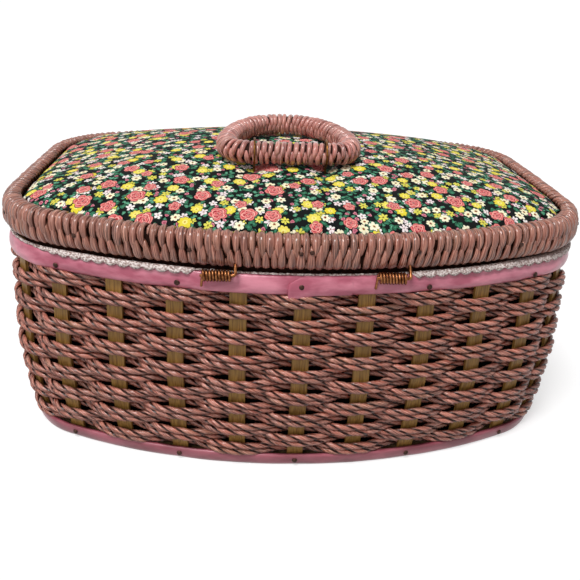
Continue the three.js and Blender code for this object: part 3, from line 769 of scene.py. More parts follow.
def flap_place(column, row):
    share = column / FLAP_COLUMNS
    x_place = FLAP_START + FLAP_LENGTH * share
    round_share = x_place / PERIMETER
    low = 103.9 + 2.5 * smooth_step(np.clip(share * 2.0, 0, 1))
    high = 112.6 + 3.3 * smooth_step(np.clip(share * 4.5, 0, 1))
    turn = (row % FLAP_ROWS) / FLAP_ROWS * 2 * np.pi
    span = np.clip(1.35 * np.cos(turn), -1, 1)
    face = np.clip(1.35 * np.sin(turn), -1, 1)
    height = (low + high) / 2 + (high - low) / 2 * span
    outer = np.interp(height, [106.3, 108.2, 109.8, 111.4, 113.2, 116.0],
                      [2.6, 2.25, 2.1, 2.25, 2.6, 3.3])
    proud = 0.62 * (1 - share) ** 0.7
    inset = outer - proud + 0.3 - 0.34 * face
    x, y, _ = outline_at(round_share, inset)
    closing = np.isin(column, (0, FLAP_COLUMNS))[:, None]
    point = np.column_stack([x, y, height])
    x, y, _ = outline_at(round_share, outer - proud + 0.3)
    middle = np.column_stack([x, y, (low + high) / 2])
    return np.where(closing, middle, point)


flap_along = np.linspace(0, FLAP_LENGTH, FLAP_COLUMNS + 1)
flap = rolled_grid("band_top_end", FLAP_COLUMNS, FLAP_ROWS, flap_place, flap_along, 24.0)
finish_piece(flap, vinyl, "basket", slot="vinyl")

# %% [markdown]
# ## Nails
# Small dome nails with dark heads hold the bands and the rim. One head is modelled: half a sphere,
# flattened. Each nail is a copy of it with its own mesh, turned to face out of the basket.

# %% Model one nail head and copy it
def outward_matrix(share, inset, height):
    x, y, angle = outline_at(share, inset)
    out = Vector((math.cos(angle), math.sin(angle), 0))
    side = Vector((-math.sin(angle), math.cos(angle), 0))
    turned = Matrix((side, Vector((0, 0, 1)), out)).transposed().to_4x4()
    return Matrix.Translation(Vector((x, y, height)) * MM) @ turned


def nail_head(radius):
    bpy.ops.object.select_all(action="DESELECT")
    bpy.ops.mesh.primitive_uv_sphere_add(segments=12, ring_count=8, radius=radius * MM)
    head = bpy.context.object
    bpy.ops.object.mode_set(mode="EDIT")
    bpy.ops.mesh.select_all(action="SELECT")
    bpy.ops.mesh.bisect(plane_co=(0, 0, 0), plane_no=(0, 0, 1), clear_inner=True, use_fill=True)
    bpy.ops.mesh.select_all(action="SELECT")
    bpy.ops.transform.resize(value=(1, 1, 0.5))
    bpy.ops.object.mode_set(mode="OBJECT")
    bpy.ops.object.shade_smooth_by_angle(angle=math.radians(40))
    return head


def copied(name, template, places):
    copies = []
    for place in places:
        copy = template.copy()
        copy.data = template.data.copy()
        bpy.context.collection.objects.link(copy)
        copy.data.transform(place)
        copies.append(copy)
    bpy.data.objects.remove(template)
    return joined(name, copies)

# %% [markdown]
# ### Where the nails are
# A nail goes through a band into each second stave, and others hold the rim's winding. They were
# driven by hand, so each stands a few tenths of a millimetre from its place. Nails on the same body
# are joined in one piece, because nobody will ever move one of them by itself.

# %% Nail the bands and the rim
# The real nails stand a little off their staves. Those that the photograph shows are listed.
BAND_NAIL_HEIGHT, FOOT_NAIL_HEIGHT, RIM_NAIL_HEIGHT = 110.9, 3.4, 128.2
BAND_NAIL_RADIUS, RIM_NAIL_RADIUS = 1.5, 1.2
nail_shifts = {0: (-1.5, 0.0), 1: (-1.2, -1.6), 2: (-0.8, -2.2), 13: (1.5, -1.6), 14: (2.6, -1.2)}
top_nails = []
for k in range(STAVES // 2):
    along, up = nail_shifts.get(k, rng.normal(0, 0.8, 2))
    top_nails.append(outward_matrix(2 * k / STAVES + along / PERIMETER, 2.35,
                                    BAND_NAIL_HEIGHT + up))
foot_nails = [outward_matrix(2 * k / STAVES, 2.5 + wall_inset(FOOT_NAIL_HEIGHT), FOOT_NAIL_HEIGHT)
              for k in range(STAVES // 2)]
finish_piece(copied("band_nails", nail_head(BAND_NAIL_RADIUS), top_nails + foot_nails), iron, "basket")

# The rim's nails are smaller and stand where its two windings meet, about 58 mm apart, and two
# stand side by side at the middle of the hinge side.
rim_nail_shares = [-2.6 / PERIMETER, 2.6 / PERIMETER]
rim_nail_shares += [k / 17 + rng.normal(0, 0.003) for k in range(1, 17)]
rim_nails = [outward_matrix(share, 0.75, RIM_NAIL_HEIGHT + rng.normal(0, 0.9))
             for share in rim_nail_shares]
finish_piece(copied("rim_nails", nail_head(RIM_NAIL_RADIUS), rim_nails), iron, "lid")

# %% [markdown]
# ## Lace
# A white scalloped braid lies on the top edge of the body and hangs over the band by a few
# millimetres. It is one strip with a closed section. Its outer lip reaches down at each scallop and
# less between two, and its face is raised in a zigzag, as a woven braid is. Between the hinges, and
# at the near left corner, it is tucked back and shows only as a thin line. A lace made thread by
# thread would have far too many faces, so its holes are left to the material.

# %% Make the lace
SCALLOPS = 146
LACE_COLUMNS, LACE_ROWS, LIP_ROW = SCALLOPS * 12, 14, 7
# In mm along the outline from the middle of the hinge side: the braid hangs free beyond LACE_FREE
# on both sides, apart from the corner round LACE_TUCKED, and lies flatter away from WIDE_FROM.
LACE_FREE, LACE_TUCKED, TUCK_REACH, WIDE_FROM = 54.0, -172, 32, -40
ragged = wander(np.linspace(0, PERIMETER, LACE_COLUMNS), 2.2, 0.35)


def lace_place(column, row):
    here = column % LACE_COLUMNS
    torn = ragged[here]
    share = here / LACE_COLUMNS
    wave = np.abs(np.sin(np.pi * SCALLOPS * share)) ** 0.75
    side = (np.mod(share + 0.5, 1.0) - 0.5) * PERIMETER
    # Free is 1 where the braid hangs over the band, and 0 where it is tucked back.
    free = smooth_step(np.clip((np.abs(side) - LACE_FREE) / 5, 0, 1))
    tucked = smooth_step(np.clip(1.6 - np.abs(side - LACE_TUCKED) / TUCK_REACH, 0, 1))
    free = free * (1 - 0.8 * tucked)
    # Rows 0 to 7 are the face from the inner edge to the lip, and 8 to 13 come back behind it.
    face = row <= LIP_ROW
    reach = np.where(face, row / LIP_ROW, (LACE_ROWS - 0.5 - row) / 6).clip(0, 1)
    bend = np.clip((reach - 0.35) / 0.65, 0, 1)
    # The face runs outwards from the inner edge to its crest, and from there down to the lip.
    wide = smooth_step(np.clip((np.abs(side - WIDE_FROM) - 120) / 60, 0, 1))
    inner = 4.5 + 2.4 * wide
    crest = (4.1 + torn) * (1 - free) + 2.8 * free
    inner = np.maximum(inner, crest + 0.9)
    inset = inner + (crest - inner) * np.clip(reach / 0.5, 0, 1) - 0.9 * bend * free
    height = 117.55 - (0.6 + 0.5 * torn) * (1 - free) + 0.25 * np.sin(np.pi * reach)
    height = height - ((0.9 + 1.6 * wave) * free + 0.5) * bend ** 1.5
    # Neighbouring rows rise by turns, one ridge a scallop, which draws the zigzag.
    zigzag = np.sin(2 * np.pi * SCALLOPS * share + np.where(row % 2 == 0, 0, np.pi))
    lift = np.where(face, 0.34 * zigzag * np.sin(np.pi * reach) + 0.1, -0.6)
    inset = inset - lift * bend * 0.9
    height = height + lift * (1 - 0.8 * bend)
    x, y, _ = outline_at(share, inset)
    return np.column_stack([x, y, height])


lace_along = np.linspace(0, PERIMETER, LACE_COLUMNS + 1)
finish_piece(rolled_grid("lace_edge", LACE_COLUMNS, LACE_ROWS, lace_place, lace_along, 24.0),
             lace_cotton, "basket", "lace_trim", slot="lace")

# %% [markdown]
# ## Linings
# Inside, a brown card stiffens the wall, and pink satin is gathered over it. The card's outer face,
# painted near black as shade, is what shows between the cords. The satin is a thin closed sheet with
# upright gathers. It was cut 1.15 m long and 0.118 m high, and is gathered onto a wall of about
# 0.91 m. Its folds are waves of uneven width, because a simulation would need cells much finer than
# its 6 mm folds.

# %% Line the wall
LINING_COLUMNS, CARD_THICKNESS, SATIN_THICKNESS, SATIN_GAP = 900, 0.7, 0.4, 0.9
LINING_FOOT, LINING_TOP = 4.6, 118.7
lining_levels = np.array([LINING_FOOT, 12, 22, 34, 47, 60, 73, 86, 98, 108, 115, LINING_TOP])
# A lining's section goes up its outer face, with one row a level, and comes down its inner face.
LEVELS = len(lining_levels)
LINING_ROWS = 2 * LEVELS
there_and_back = np.concatenate([lining_levels, lining_levels[::-1]])


def ring_section(columns, section_at):
    """Makes a place function from a list of (inset, height) rows that may change round the ring."""
    def place(column, row):
        share = (column % columns) / columns
        inset, height = section_at(share, row)
        x, y, _ = outline_at(share, inset + wall_inset(height))
        return np.column_stack([x, y, height])
    return place


def card_section(_, row):
    row = row % LINING_ROWS
    return np.where(row < LEVELS, LINING_INSET, LINING_INSET + CARD_THICKNESS), there_and_back[row]


def satin_section(share, row):
    row = row % LINING_ROWS
    depth = np.where(row < LEVELS, 0.0, SATIN_THICKNESS)
    height = there_and_back[row]
    # The folds are open in the middle of the wall, and are sewn flat at its foot and its top.
    up = np.clip((height - LINING_FOOT) / (LINING_TOP - LINING_FOOT), 0, 1)
    open_share = np.sin(np.pi * up) ** 0.35
    gather = gathers(share, height)
    return LINING_INSET + SATIN_GAP + depth + (0.25 + 1.3 * gather) * open_share, height


gather_phase = rng.uniform(0, 2 * np.pi, 6)


def gathers(share, height):
    """Upright folds of about 6 mm, uneven in width and leaning a little."""
    lean = 0.6 * np.sin(2 * np.pi * share * 23 + gather_phase[0]) * height / 118
    uneven = 1.6 * np.sin(2 * np.pi * share * 19 + gather_phase[1])
    waves = np.sin(2 * np.pi * share * 142 + lean + uneven)
    small = np.sin(2 * np.pi * share * 233 + gather_phase[2] + 0.02 * height)
    return np.clip(0.5 + 0.36 * waves + 0.14 * small, 0, 1)


ring_along = np.linspace(0, PERIMETER, LINING_COLUMNS + 1)
lining_card = rolled_grid("lining_card", LINING_COLUMNS // 3, LINING_ROWS,
                          ring_section(LINING_COLUMNS // 3, card_section), ring_along[::3], 230.0)
finish_piece(lining_card, card, "basket", "lining_wall", slot="board")
lining_satin = rolled_grid("lining_satin", LINING_COLUMNS, LINING_ROWS,
                           ring_section(LINING_COLUMNS, satin_section), ring_along, 230.0)
finish_piece(lining_satin, satin, "basket", "lining_wall", slot="satin")

# %% [markdown]
# ### Quilted linings
# The floor and the underside of the lid are thin satin pads, sewn in squares of 24 mm that stand
# on their corners, so that seams cross the basket's length every 34 mm. A pad is a plate inside the
# outline whose free face rises between the seams. The seams are narrower than a cloth simulation's
# cells, so the pads are shaped by a formula.

# %% Make the two quilted pads
QUILT_AROUND, QUILT_RINGS, QUILT_PITCH = 240, 40, 34.0


def quilt(x, y):
    """How far a quilted face rises: 0 on its seams and 1 in the middle of a square."""
    rising, falling = (x + y) / QUILT_PITCH, (x - y) / QUILT_PITCH
    return (np.abs(np.sin(np.pi * rising)) * np.abs(np.sin(np.pi * falling))) ** 0.45


def quilted_pad(name, inset, flat_level, soft_level, puff):
    """A plate from its flat face to its soft one, closed at the middle of both."""
    inner = np.linspace(0, 0.97, QUILT_RINGS)
    shares = np.concatenate([inner, [1.0, 1.0], inner[::-1]])
    soft = np.concatenate([np.zeros(QUILT_RINGS), [0.15, 0.8], np.ones(QUILT_RINGS)])

    def place(column, row):
        x, y, _ = outline_at((row % QUILT_AROUND) / QUILT_AROUND, inset)
        x, y = x * shares[column], y * shares[column]
        edge = np.clip((1 - shares[column]) / 0.05, 0, 1) ** 0.5
        rise = puff * quilt(x, y) * edge * (soft[column] == 1)
        height = flat_level + (soft_level - flat_level) * soft[column] + rise
        return np.column_stack([x, y, height])

    return rolled_grid(name, len(shares) - 1, QUILT_AROUND, place, np.arange(len(shares)) * 4.0,
                       900.0)


floor_pad = quilted_pad("floor_lining", inset=19.9, flat_level=4.35, soft_level=5.2, puff=1.5)
finish_piece(floor_pad, satin, "basket", "lining_floor", slot="satin")
lid_lining = quilted_pad("lid_lining_pad", inset=11.9, flat_level=122.25, soft_level=121.0,
                         puff=-2.2)
finish_piece(lid_lining, satin, "lid", "lid_lining", slot="satin")

# %% [markdown]
# ## The padded lid
# Cloth with a small flower print is drawn over a pad and tucked behind the rim. The pad is first
# made as a plain dome, 6 percent lower than it will be, so that the next step has room to swell it.

# %% Shape the pad
PAD_AROUND, PAD_BELOW_RINGS, PAD_TOP_RINGS = 420, 8, 56
SLACK = 0.06
# The handle's wires go through the cloth at four places: TIE_OFFSET to the left and the right of
# the middle of its bar, and TIE_LEG before and behind it.
TIE_OFFSET, TIE_LEG = 20.0, 2.57
TIES = [(HANDLE_X + x, HANDLE_BAR_Y + y)
        for x in (-TIE_OFFSET, TIE_OFFSET) for y in (-TIE_LEG, TIE_LEG)]


def print_pad_place(column, row):
    below = column < PAD_BELOW_RINGS
    reach = np.where(below, column / PAD_BELOW_RINGS,
                     1 - (column - PAD_BELOW_RINGS) / PAD_TOP_RINGS).clip(0, 1)
    reach = np.where(below, reach, 1 - (1 - reach) ** 1.35)
    x, y, _ = outline_at((row % PAD_AROUND) / PAD_AROUND, PAD_INSET)
    height = PAD_EDGE + PAD_CROWN * (1 - SLACK) * (1 - reach ** 2)
    height = np.where(below, PAD_BOTTOM, height)
    return np.column_stack([x * reach, y * reach, height])


pad_rings = PAD_BELOW_RINGS + PAD_TOP_RINGS
pad = rolled_grid("print_pad", pad_rings, PAD_AROUND, print_pad_place,
                  np.arange(pad_rings + 1) * 3.0, 900.0)
print("pad", [round(value * 1000, 1) for value in pad.dimensions])

# %% [markdown]
# ### Swell the pad
# A short cloth simulation then blows the pad up. Its mesh is remade in even cells of 5 mm, pressure
# pushes it out for 20 steps, and its edge, its underside and the four places where the handle's
# wires go through are held. Afterwards no point may lie more than 0.8 mm below the pad's own dome,
# or more than 1.6 mm above it, and below the handle more than 0.5 mm above it.

# %% Swell the pad with a cloth simulation
# Held are the outer 3.5 percent of the pad, its underside and 3.5 mm round each wire.
SWELL_CELL, SWELL_STEPS, HELD_REACH, HELD_ABOVE_BOTTOM, HELD_ROUND_TIE = 5.0, 20, 0.965, 3, 3.5
edge_x, edge_y, _ = outline_at(np.linspace(0, 1, 1440, endpoint=False), PAD_INSET)
edge_turn, edge_distance = np.arctan2(edge_y, edge_x), np.hypot(edge_x, edge_y)


def pad_reach(x, y):
    """How far out a place is on the pad: 0 at its middle and 1 at its edge."""
    turn = np.arctan2(y, x)
    return np.hypot(x, y) / np.interp(turn, edge_turn, edge_distance, period=2 * np.pi)


def mesh_points(piece):
    flat = np.empty(len(piece.data.vertices) * 3)
    piece.data.vertices.foreach_get("co", flat)
    return flat.reshape(-1, 3) / MM


def swell(piece, cell, held, steps):
    """Blows a closed piece up with a cloth simulation and keeps the result as its mesh."""
    select_only(piece)
    piece.data.remesh_voxel_size = cell * MM
    bpy.ops.object.voxel_remesh()
    group = piece.vertex_groups.new(name="held")
    group.add(np.flatnonzero(held(mesh_points(piece))).tolist(), 1.0, "REPLACE")
    bpy.ops.object.modifier_add(type="CLOTH")
    cloth = piece.modifiers[-1]
    cloth.settings.vertex_group_mass = "held"
    cloth.settings.use_pressure = True
    cloth.settings.uniform_pressure_force = 4
    cloth.settings.shrink_min = -0.012
    cloth.settings.effector_weights.gravity = 0
    cloth.point_cache.frame_start, cloth.point_cache.frame_end = 1, steps
    for step in range(1, steps + 1):
        bpy.context.scene.frame_set(step)
    bpy.ops.object.modifier_apply(modifier=cloth.name)
    piece.vertex_groups.clear()
    bpy.context.scene.frame_set(1)


def held_on_pad(points):
    x, y, height = points.T
    near_tie = np.min([np.hypot(x - tie_x, y - tie_y) for tie_x, tie_y in TIES], axis=0)
    return ((pad_reach(x, y) > HELD_REACH) | (height < PAD_BOTTOM + HELD_ABOVE_BOTTOM)
            | (near_tie < HELD_ROUND_TIE))


swell(pad, SWELL_CELL, held_on_pad, SWELL_STEPS)
select_only(pad)
bpy.ops.object.modifier_add(type="SUBSURF")
bpy.ops.object.modifier_apply(modifier=pad.modifiers[-1].name)

# %% [markdown]
# ### Draw the cloth in
# On the real lid the wires draw the cloth in around them, and it dips and puckers a little where it
# goes behind the rim. The simulation's result is kept close to the pad's own dome first, so that it
# clears the handle, and then these small marks are pressed into it by formula.

# %% Fit the pad to the handle and the rim
MOST_BELOW, MOST_ABOVE, MOST_UNDER_HANDLE = 0.8, 1.6, 0.5
points = mesh_points(pad)
x, y, height = points.T
reach = pad_reach(x, y)
dome = PAD_EDGE + PAD_CROWN * (1 - reach ** 2)
# How far a place is from the box that the handle covers, 60 mm long and 80 mm wide.
from_bar = np.hypot((np.abs(x - HANDLE_X) - 30).clip(0),
                    (np.abs(y - HANDLE_BAR_Y - 32) - 40).clip(0))
allowed = MOST_UNDER_HANDLE + (MOST_ABOVE - MOST_UNDER_HANDLE) * smooth_step(
    np.clip(from_bar / 18, 0, 1))
upper = height > PAD_EDGE - 4
height = np.where(upper, np.clip(height, dome - MOST_BELOW, dome + allowed), height)
# 88 small puckers go round the edge, unevenly, in a dip of 1.4 mm. Each wire draws in 0.9 mm.
share_around = np.arctan2(y, x) / (2 * np.pi)
pucker = np.sin(2 * np.pi * share_around * 88 + 2 * np.sin(2 * np.pi * share_around * 7))
dip = 1.4 * np.clip(1 - (1 - reach) / 0.045, 0, 1) ** 2
dip = dip - 0.22 * pucker * np.exp(-((1 - reach) / 0.05) ** 2)
for tie_x, tie_y in TIES:
    dip = dip + 0.9 * np.exp(-((x - tie_x) ** 2 + (y - tie_y) ** 2) / 4.5 ** 2)
points[:, 2] = np.where(upper, height - dip, height)
pad.data.vertices.foreach_set("co", (points * MM).ravel())
pad.data.update()
bpy.ops.object.shade_smooth()
print("pad top", round(points[:, 2].max(), 1), "mm, swell",
      round(float((height - dome)[upper].max()), 2))

# %% [markdown]
# ### Draw a flower
# The cloth is printed cotton: a near-black ground, crowded small leaves, and several kinds of small
# flower. A picture of it could be painted, but a print that is made of nodes stays sharp at any
# size. A Voronoi texture scatters points, one in each cell. The distance to the nearest point gives
# petals when it is compared with a wavy circle, and random values that belong to the cell turn each
# flower, change its size and leave some out.

# %% Helpers for drawn flowers
# A turn of the random values is 6.28, and a flower's size goes up to 1.1 times its radius.
FULL_TURN, LARGEST = 6.28, 1.1


def flower(material, place, cell, offset, jitter, radius, petals, notch, share, vary=0.25):
    """Scatters one flower a cell, in mm. Sizes vary down from the largest by the share vary.

    Gives a place's distance as a share of the petals' reach, whether there is a flower, the
    distance in mm, and the cell's random values."""
    moved = add_node(material, "ShaderNodeVectorMath", {0: place, 1: offset}, operation="ADD")
    cells = add_node(material, "ShaderNodeTexVoronoi",
                     {"Vector": moved.outputs[0], "Scale": 1 / cell, "Randomness": jitter},
                     voronoi_dimensions="2D")
    local = add_node(material, "ShaderNodeVectorMath",
                     {0: moved.outputs[0], 1: cells.outputs["Position"]}, operation="SUBTRACT")
    parts = add_node(material, "ShaderNodeSeparateXYZ", {"Vector": local.outputs[0]})
    draws = add_node(material, "ShaderNodeSeparateColor", {"Color": cells.outputs["Color"]})
    angle = add_node(material, "ShaderNodeMath", {0: parts.outputs["Y"], 1: parts.outputs["X"]},
                     operation="ARCTAN2")
    start = add_node(material, "ShaderNodeMath", {0: draws.outputs["Red"], 1: FULL_TURN},
                     operation="MULTIPLY")
    turned = add_node(material, "ShaderNodeMath",
                      {0: angle.outputs[0], 1: petals / 2, 2: start.outputs[0]},
                      operation="MULTIPLY_ADD")
    # The sine-like wave is made rounder by a power, so that petals are broad and notches narrow.
    wave = add_node(material, "ShaderNodeMath", {0: turned.outputs[0]}, operation="COSINE")
    height = add_node(material, "ShaderNodeMath", {0: wave.outputs[0]}, operation="ABSOLUTE")
    lobe = add_node(material, "ShaderNodeMath", {0: height.outputs[0], 1: 0.6}, operation="POWER")
    petal = add_node(material, "ShaderNodeMath", {0: lobe.outputs[0], 1: notch, 2: 1 - notch},
                     operation="MULTIPLY_ADD")
    size = add_node(material, "ShaderNodeMath",
                    {0: draws.outputs["Green"], 1: radius * vary, 2: radius * (LARGEST - vary)},
                    operation="MULTIPLY_ADD")
    reach = add_node(material, "ShaderNodeMath", {0: petal.outputs[0], 1: size.outputs[0]},
                     operation="MULTIPLY")
    distance = add_node(material, "ShaderNodeVectorMath", {0: local.outputs[0]}, operation="LENGTH")
    relative = add_node(material, "ShaderNodeMath",
                        {0: distance.outputs["Value"], 1: reach.outputs[0]}, operation="DIVIDE")
    shown = add_node(material, "ShaderNodeMath", {0: draws.outputs["Blue"], 1: share},
                     operation="LESS_THAN")
    return relative.outputs[0], shown.outputs[0], distance.outputs["Value"], draws


def within(material, distance, shown, limit):
    """1 nearer to a flower's middle than the limit, where there is a flower, and 0 elsewhere."""
    near = add_node(material, "ShaderNodeMath", {0: distance, 1: limit}, operation="LESS_THAN")
    return add_node(material, "ShaderNodeMath", {0: near.outputs[0], 1: shown},
                    operation="MULTIPLY").outputs[0]

# %% [markdown]
# ### The print
# The real cloth's leaves are 3 mm long, its small flowers 5 to 7 mm across and its roses 6 to 10 mm.
# It is painted in coats, each a colour and a mask. Each motif starts with a halo in the ground's own
# colour, which keeps it clear of what lies below it, as on the real print. Object coordinates seen
# from above carry the print over the pad without a seam.

# %% List the motifs
GROUND = "#070a0a"
# Each kind: cell, offset, jitter, radius, petals, notch, share shown, halo, petal, inner petal,
# where the inner part ends, centre colour and the centre's radius in mm.
FLOWER_KINDS = [
    (3.9, (0, 0, 0), 1.0, 1.5, 2, 0.74, 0.7, 1.0, "#3b7f62", "#6fb08f", 0.4, None, 0),
    (5.0, (31, 17, 0), 1.0, 1.8, 2, 0.72, 0.7, 1.25, "#295c44", "#468a69", 0.4, None, 0),
    (7.2, (11, 47, 0), 1.0, 1.2, 3, 0.3, 0.55, 1.3, "#e08f9e", "#ab5264", 0.5, None, 0),
    (8.4, (23, 91, 0), 0.9, 2.35, 5, 0.82, 0.72, 1.12, "#f6eeeb", "#e2cdd3", 0.3, "#9c7358", 0.4),
    (12.5, (87, 13, 0), 0.85, 2.5, 6, 0.8, 0.75, 1.12, "#e9e263", "#c9bf4a", 0.3, "#7c6d2b", 0.4),
    (11.6, (71, 3, 0), 0.85, 2.75, 6, 0.45, 0.78, 1.1, "#fbf6de", "#efe4ac", 0.4, "#8d4030", 0.65),
    (18.5, (5, 29, 0), 0.8, 3.4, 8, 0.3, 0.8, 1.1, "#eddb40", "#f6ec8e", 0.42, "#d9ae38", 0.5),
]
# A rose is four rings of petals in each other: radius, petals, notch, edge tone, petal tone.
ROSE_RINGS = [(4.7, 5, 0.28, "#e5847f", "#cf484e"), (3.5, 4, 0.34, "#f2b6aa", "#b52f3c"),
              (2.1, 3, 0.45, "#ee9a94", "#cf444c"), (1.0, 2, 0.4, "#f4c0b5", "#9c2230")]
ROSE_CELL, ROSE_OFFSET, ROSE_JITTER, ROSE_SHARE, ROSE_VARY = 18.0, (53, 61, 0), 0.8, 0.97, 0.45
ROSE_HALO, ROSE_EDGE = 1.08, 0.84
print("kinds of small flower and leaf:", len(FLOWER_KINDS), "and rings in a rose:", len(ROSE_RINGS))

# %% [markdown]
# ### Paint the coats
# The lists above become coats of paint, and one loop lays them over each other, the first at the
# bottom. Adding a kind of flower then takes one line in a list. Leaves come first and roses last,
# because on the real cloth nothing lies over a rose.


# %% Print flowers on cotton
def print_cotton():
    material, shader = new_material("printed cotton", roughness=0.8, specular_ior_level=0.12)
    place = add_node(material, "ShaderNodeTexCoord").outputs["Object"]
    in_mm = add_node(material, "ShaderNodeVectorMath", {0: place, 1: (1000, 1000, 0)},
                     operation="MULTIPLY").outputs[0]
    # A little waviness makes the motifs look drawn by hand.
    noise = add_node(material, "ShaderNodeTexNoise", {"Vector": in_mm, "Scale": 0.4, "Detail": 1.0})
    centred = add_node(material, "ShaderNodeVectorMath",
                       {0: noise.outputs["Color"], 1: (0.5, 0.5, 0.5)}, operation="SUBTRACT")
    wavy = add_node(material, "ShaderNodeVectorMath",
                    {0: centred.outputs[0], 1: (1.3, 1.3, 0), 2: in_mm},
                    operation="MULTIPLY_ADD").outputs[0]
    coats = []
    for kind in FLOWER_KINDS:
        halo, petal, inner, ends, middle, size = kind[7:]
        relative, shown, distance, draws = flower(material, wavy, *kind[:7])
        deeper = add_node(material, "ShaderNodeMath", {0: draws.outputs["Red"], 1: 0.45},
                          operation="MULTIPLY")
        tint = add_node(material, "ShaderNodeMix",
                        {"Factor": deeper.outputs[0], MIX_A: colour(petal), MIX_B: colour(inner)},
                        data_type="RGBA")
        coats += [(colour(GROUND), within(material, relative, shown, halo)),
                  (tint.outputs[MIXED], within(material, relative, shown, 1.0)),
                  (colour(inner), within(material, relative, shown, ends))]
        if middle:
            coats.append((colour(middle), within(material, distance, shown, size)))
    # Coral roses, ring by ring, each with a pale edge and petals that look brushed.
    brush = add_node(material, "ShaderNodeTexNoise", {"Vector": in_mm, "Scale": 0.8, "Detail": 1.0})
    brushed = add_node(material, "ShaderNodeMapRange",
                       {"Value": brush.outputs["Fac"], "From Min": 0.45, "From Max": 0.62,
                        "To Max": 0.6})
    for radius, petals, notch, edge, petal in ROSE_RINGS:
        relative, shown, _, _ = flower(material, wavy, ROSE_CELL, ROSE_OFFSET, ROSE_JITTER, radius,
                                       petals, notch, ROSE_SHARE, ROSE_VARY)
        if radius == ROSE_RINGS[0][0]:
            coats.append((colour(GROUND), within(material, relative, shown, ROSE_HALO)))
        tint = add_node(material, "ShaderNodeMix",
                        {"Factor": brushed.outputs["Result"], MIX_A: colour(petal),
                         MIX_B: colour(edge)}, data_type="RGBA")
        coats += [(colour(edge), within(material, relative, shown, 1.0)),
                  (tint.outputs[MIXED], within(material, relative, shown, ROSE_EDGE))]
    painted = colour(GROUND)
    for paint, mask in coats:
        painted = add_node(material, "ShaderNodeMix", {"Factor": mask, MIX_A: painted, MIX_B: paint},
                           data_type="RGBA").outputs[MIXED]
    link(material, painted, shader, "Base Color")
    # The weave of the cotton: threads 0.35 mm apart, drawn a little coarser than real.
    threads = add_node(material, "ShaderNodeTexWave",
                       {"Vector": in_mm, "Scale": 0.9, "Distortion": 0.6, "Detail": 1.0})
    bump = add_node(material, "ShaderNodeBump",
                    {"Height": threads.outputs["Fac"], "Strength": 0.2, "Distance": 0.0002})
    link(material, bump.outputs["Normal"], shader, "Normal")
    print("the print has", len(coats), "coats of paint")
    return material


finish_piece(pad, print_cotton(), "lid", "lid_pad", slot="print")

# %% [markdown]
# ## Hinges, ties and clasp
# All of these are bent from wire. A bent wire is a tube round a line with rounded corners, closed by
# a small dome at both ends. On the real basket each hinge is one bent wire. Here its coil belongs to
# the basket and its rod to the lid, because a piece can move with one body only.

# %% Bend wires
HINGE_Y, HINGE_Z, HINGE_OFFSET = -128.003, 117.0, 43.0
COIL_TURNS, COIL_WIRE, COIL_LENGTH, COIL_RADIUS, COIL_TAIL = 9, 1.35, 13.65, 2.43, 7.0
COIL_PITCH = COIL_LENGTH / COIL_TURNS
# A pin's rod comes out of the coil, bends up below the rim and ends inside it.
PIN_WIRE, PIN_OUT_OF_COIL, PIN_RIM_INSET, PIN_IN_RIM, PIN_BEND = 1.8, 2.2, 1.9, 2.9, 1.6


def bent_line(corners, bend):
    """Rounds the inner corners of a line off: each turns into a curve with bend mm on both sides."""
    corners = [np.array(corner, dtype=float) for corner in corners]
    points = [corners[0]]
    for before, corner, after in zip(corners, corners[1:], corners[2:]):
        start = corner - unit(corner - before) * bend
        end = corner + unit(after - corner) * bend
        for share in np.linspace(0, 1, 9):
            left = 1 - share
            points.append(left ** 2 * start + 2 * share * left * corner + share ** 2 * end)
    return np.array(points + [corners[-1]])


def wire(name, line, hint, radius, sides=10):
    """A round wire along a line, with a small dome at each end: two rings close to the tip."""
    start, end = unit(line[1] - line[0]), unit(line[-2] - line[-1])
    line = np.vstack([line[0], line[0] + start * 0.12 * radius, line[0] + start * 0.5 * radius,
                      line[1:-1], line[-1] + end * 0.5 * radius, line[-1] + end * 0.12 * radius,
                      line[-1]])
    widths = np.full(len(line), radius)
    widths[[0, -1]], widths[[1, -2]] = 0, radius * 0.72
    return tube(name, line, np.array(hint, dtype=float), widths, widths, sides)

# %% [markdown]
# ### The hinges
# A hinge's coil has nine close turns and a tail that goes down into the body. Its line is a plain
# helix, which a formula gives exactly. The rod inside it bends up and goes into the rim.


# %% Wind the hinges
def coil_line(x):
    start, side = x - COIL_LENGTH / 2, HINGE_Y + COIL_RADIUS
    turn = np.linspace(0, COIL_TURNS, COIL_TURNS * 18 + 1)
    coil = np.column_stack([start + turn * COIL_PITCH,
                            HINGE_Y + COIL_RADIUS * np.cos(2 * np.pi * turn),
                            HINGE_Z + COIL_RADIUS * np.sin(2 * np.pi * turn)])
    tail = [start - COIL_WIRE / 2, side, HINGE_Z - COIL_TAIL]
    tip = [start + COIL_LENGTH + COIL_WIRE / 2, side, HINGE_Z + COIL_WIRE]
    return np.vstack([tail, coil, tip])


def pin_line(x):
    start, end = x - COIL_LENGTH / 2 - COIL_WIRE, x + COIL_LENGTH / 2 + PIN_OUT_OF_COIL
    reach = SIDE_RADIUS - LID_WIDTH / 2 - math.sqrt(SIDE_RADIUS ** 2 - end ** 2)
    corners = [(start, HINGE_Y, HINGE_Z), (end, HINGE_Y, HINGE_Z),
               (end, PIN_RIM_INSET + reach, RIM_BOTTOM + PIN_IN_RIM)]
    return bent_line(corners, PIN_BEND)


for side, x in (("left", -HINGE_OFFSET), ("right", HINGE_OFFSET)):
    finish_piece(wire(f"hinge_wire_{side}", coil_line(x), (1, 0, 0), COIL_WIRE / 2, 8), brass,
                 "basket", f"hinge_coil_{side}", slot="brass")
    finish_piece(wire(f"hinge_rod_{side}", pin_line(x), (0, 0.3, 1), PIN_WIRE / 2), brass,
                 "lid", f"hinge_pin_{side}", slot="brass")

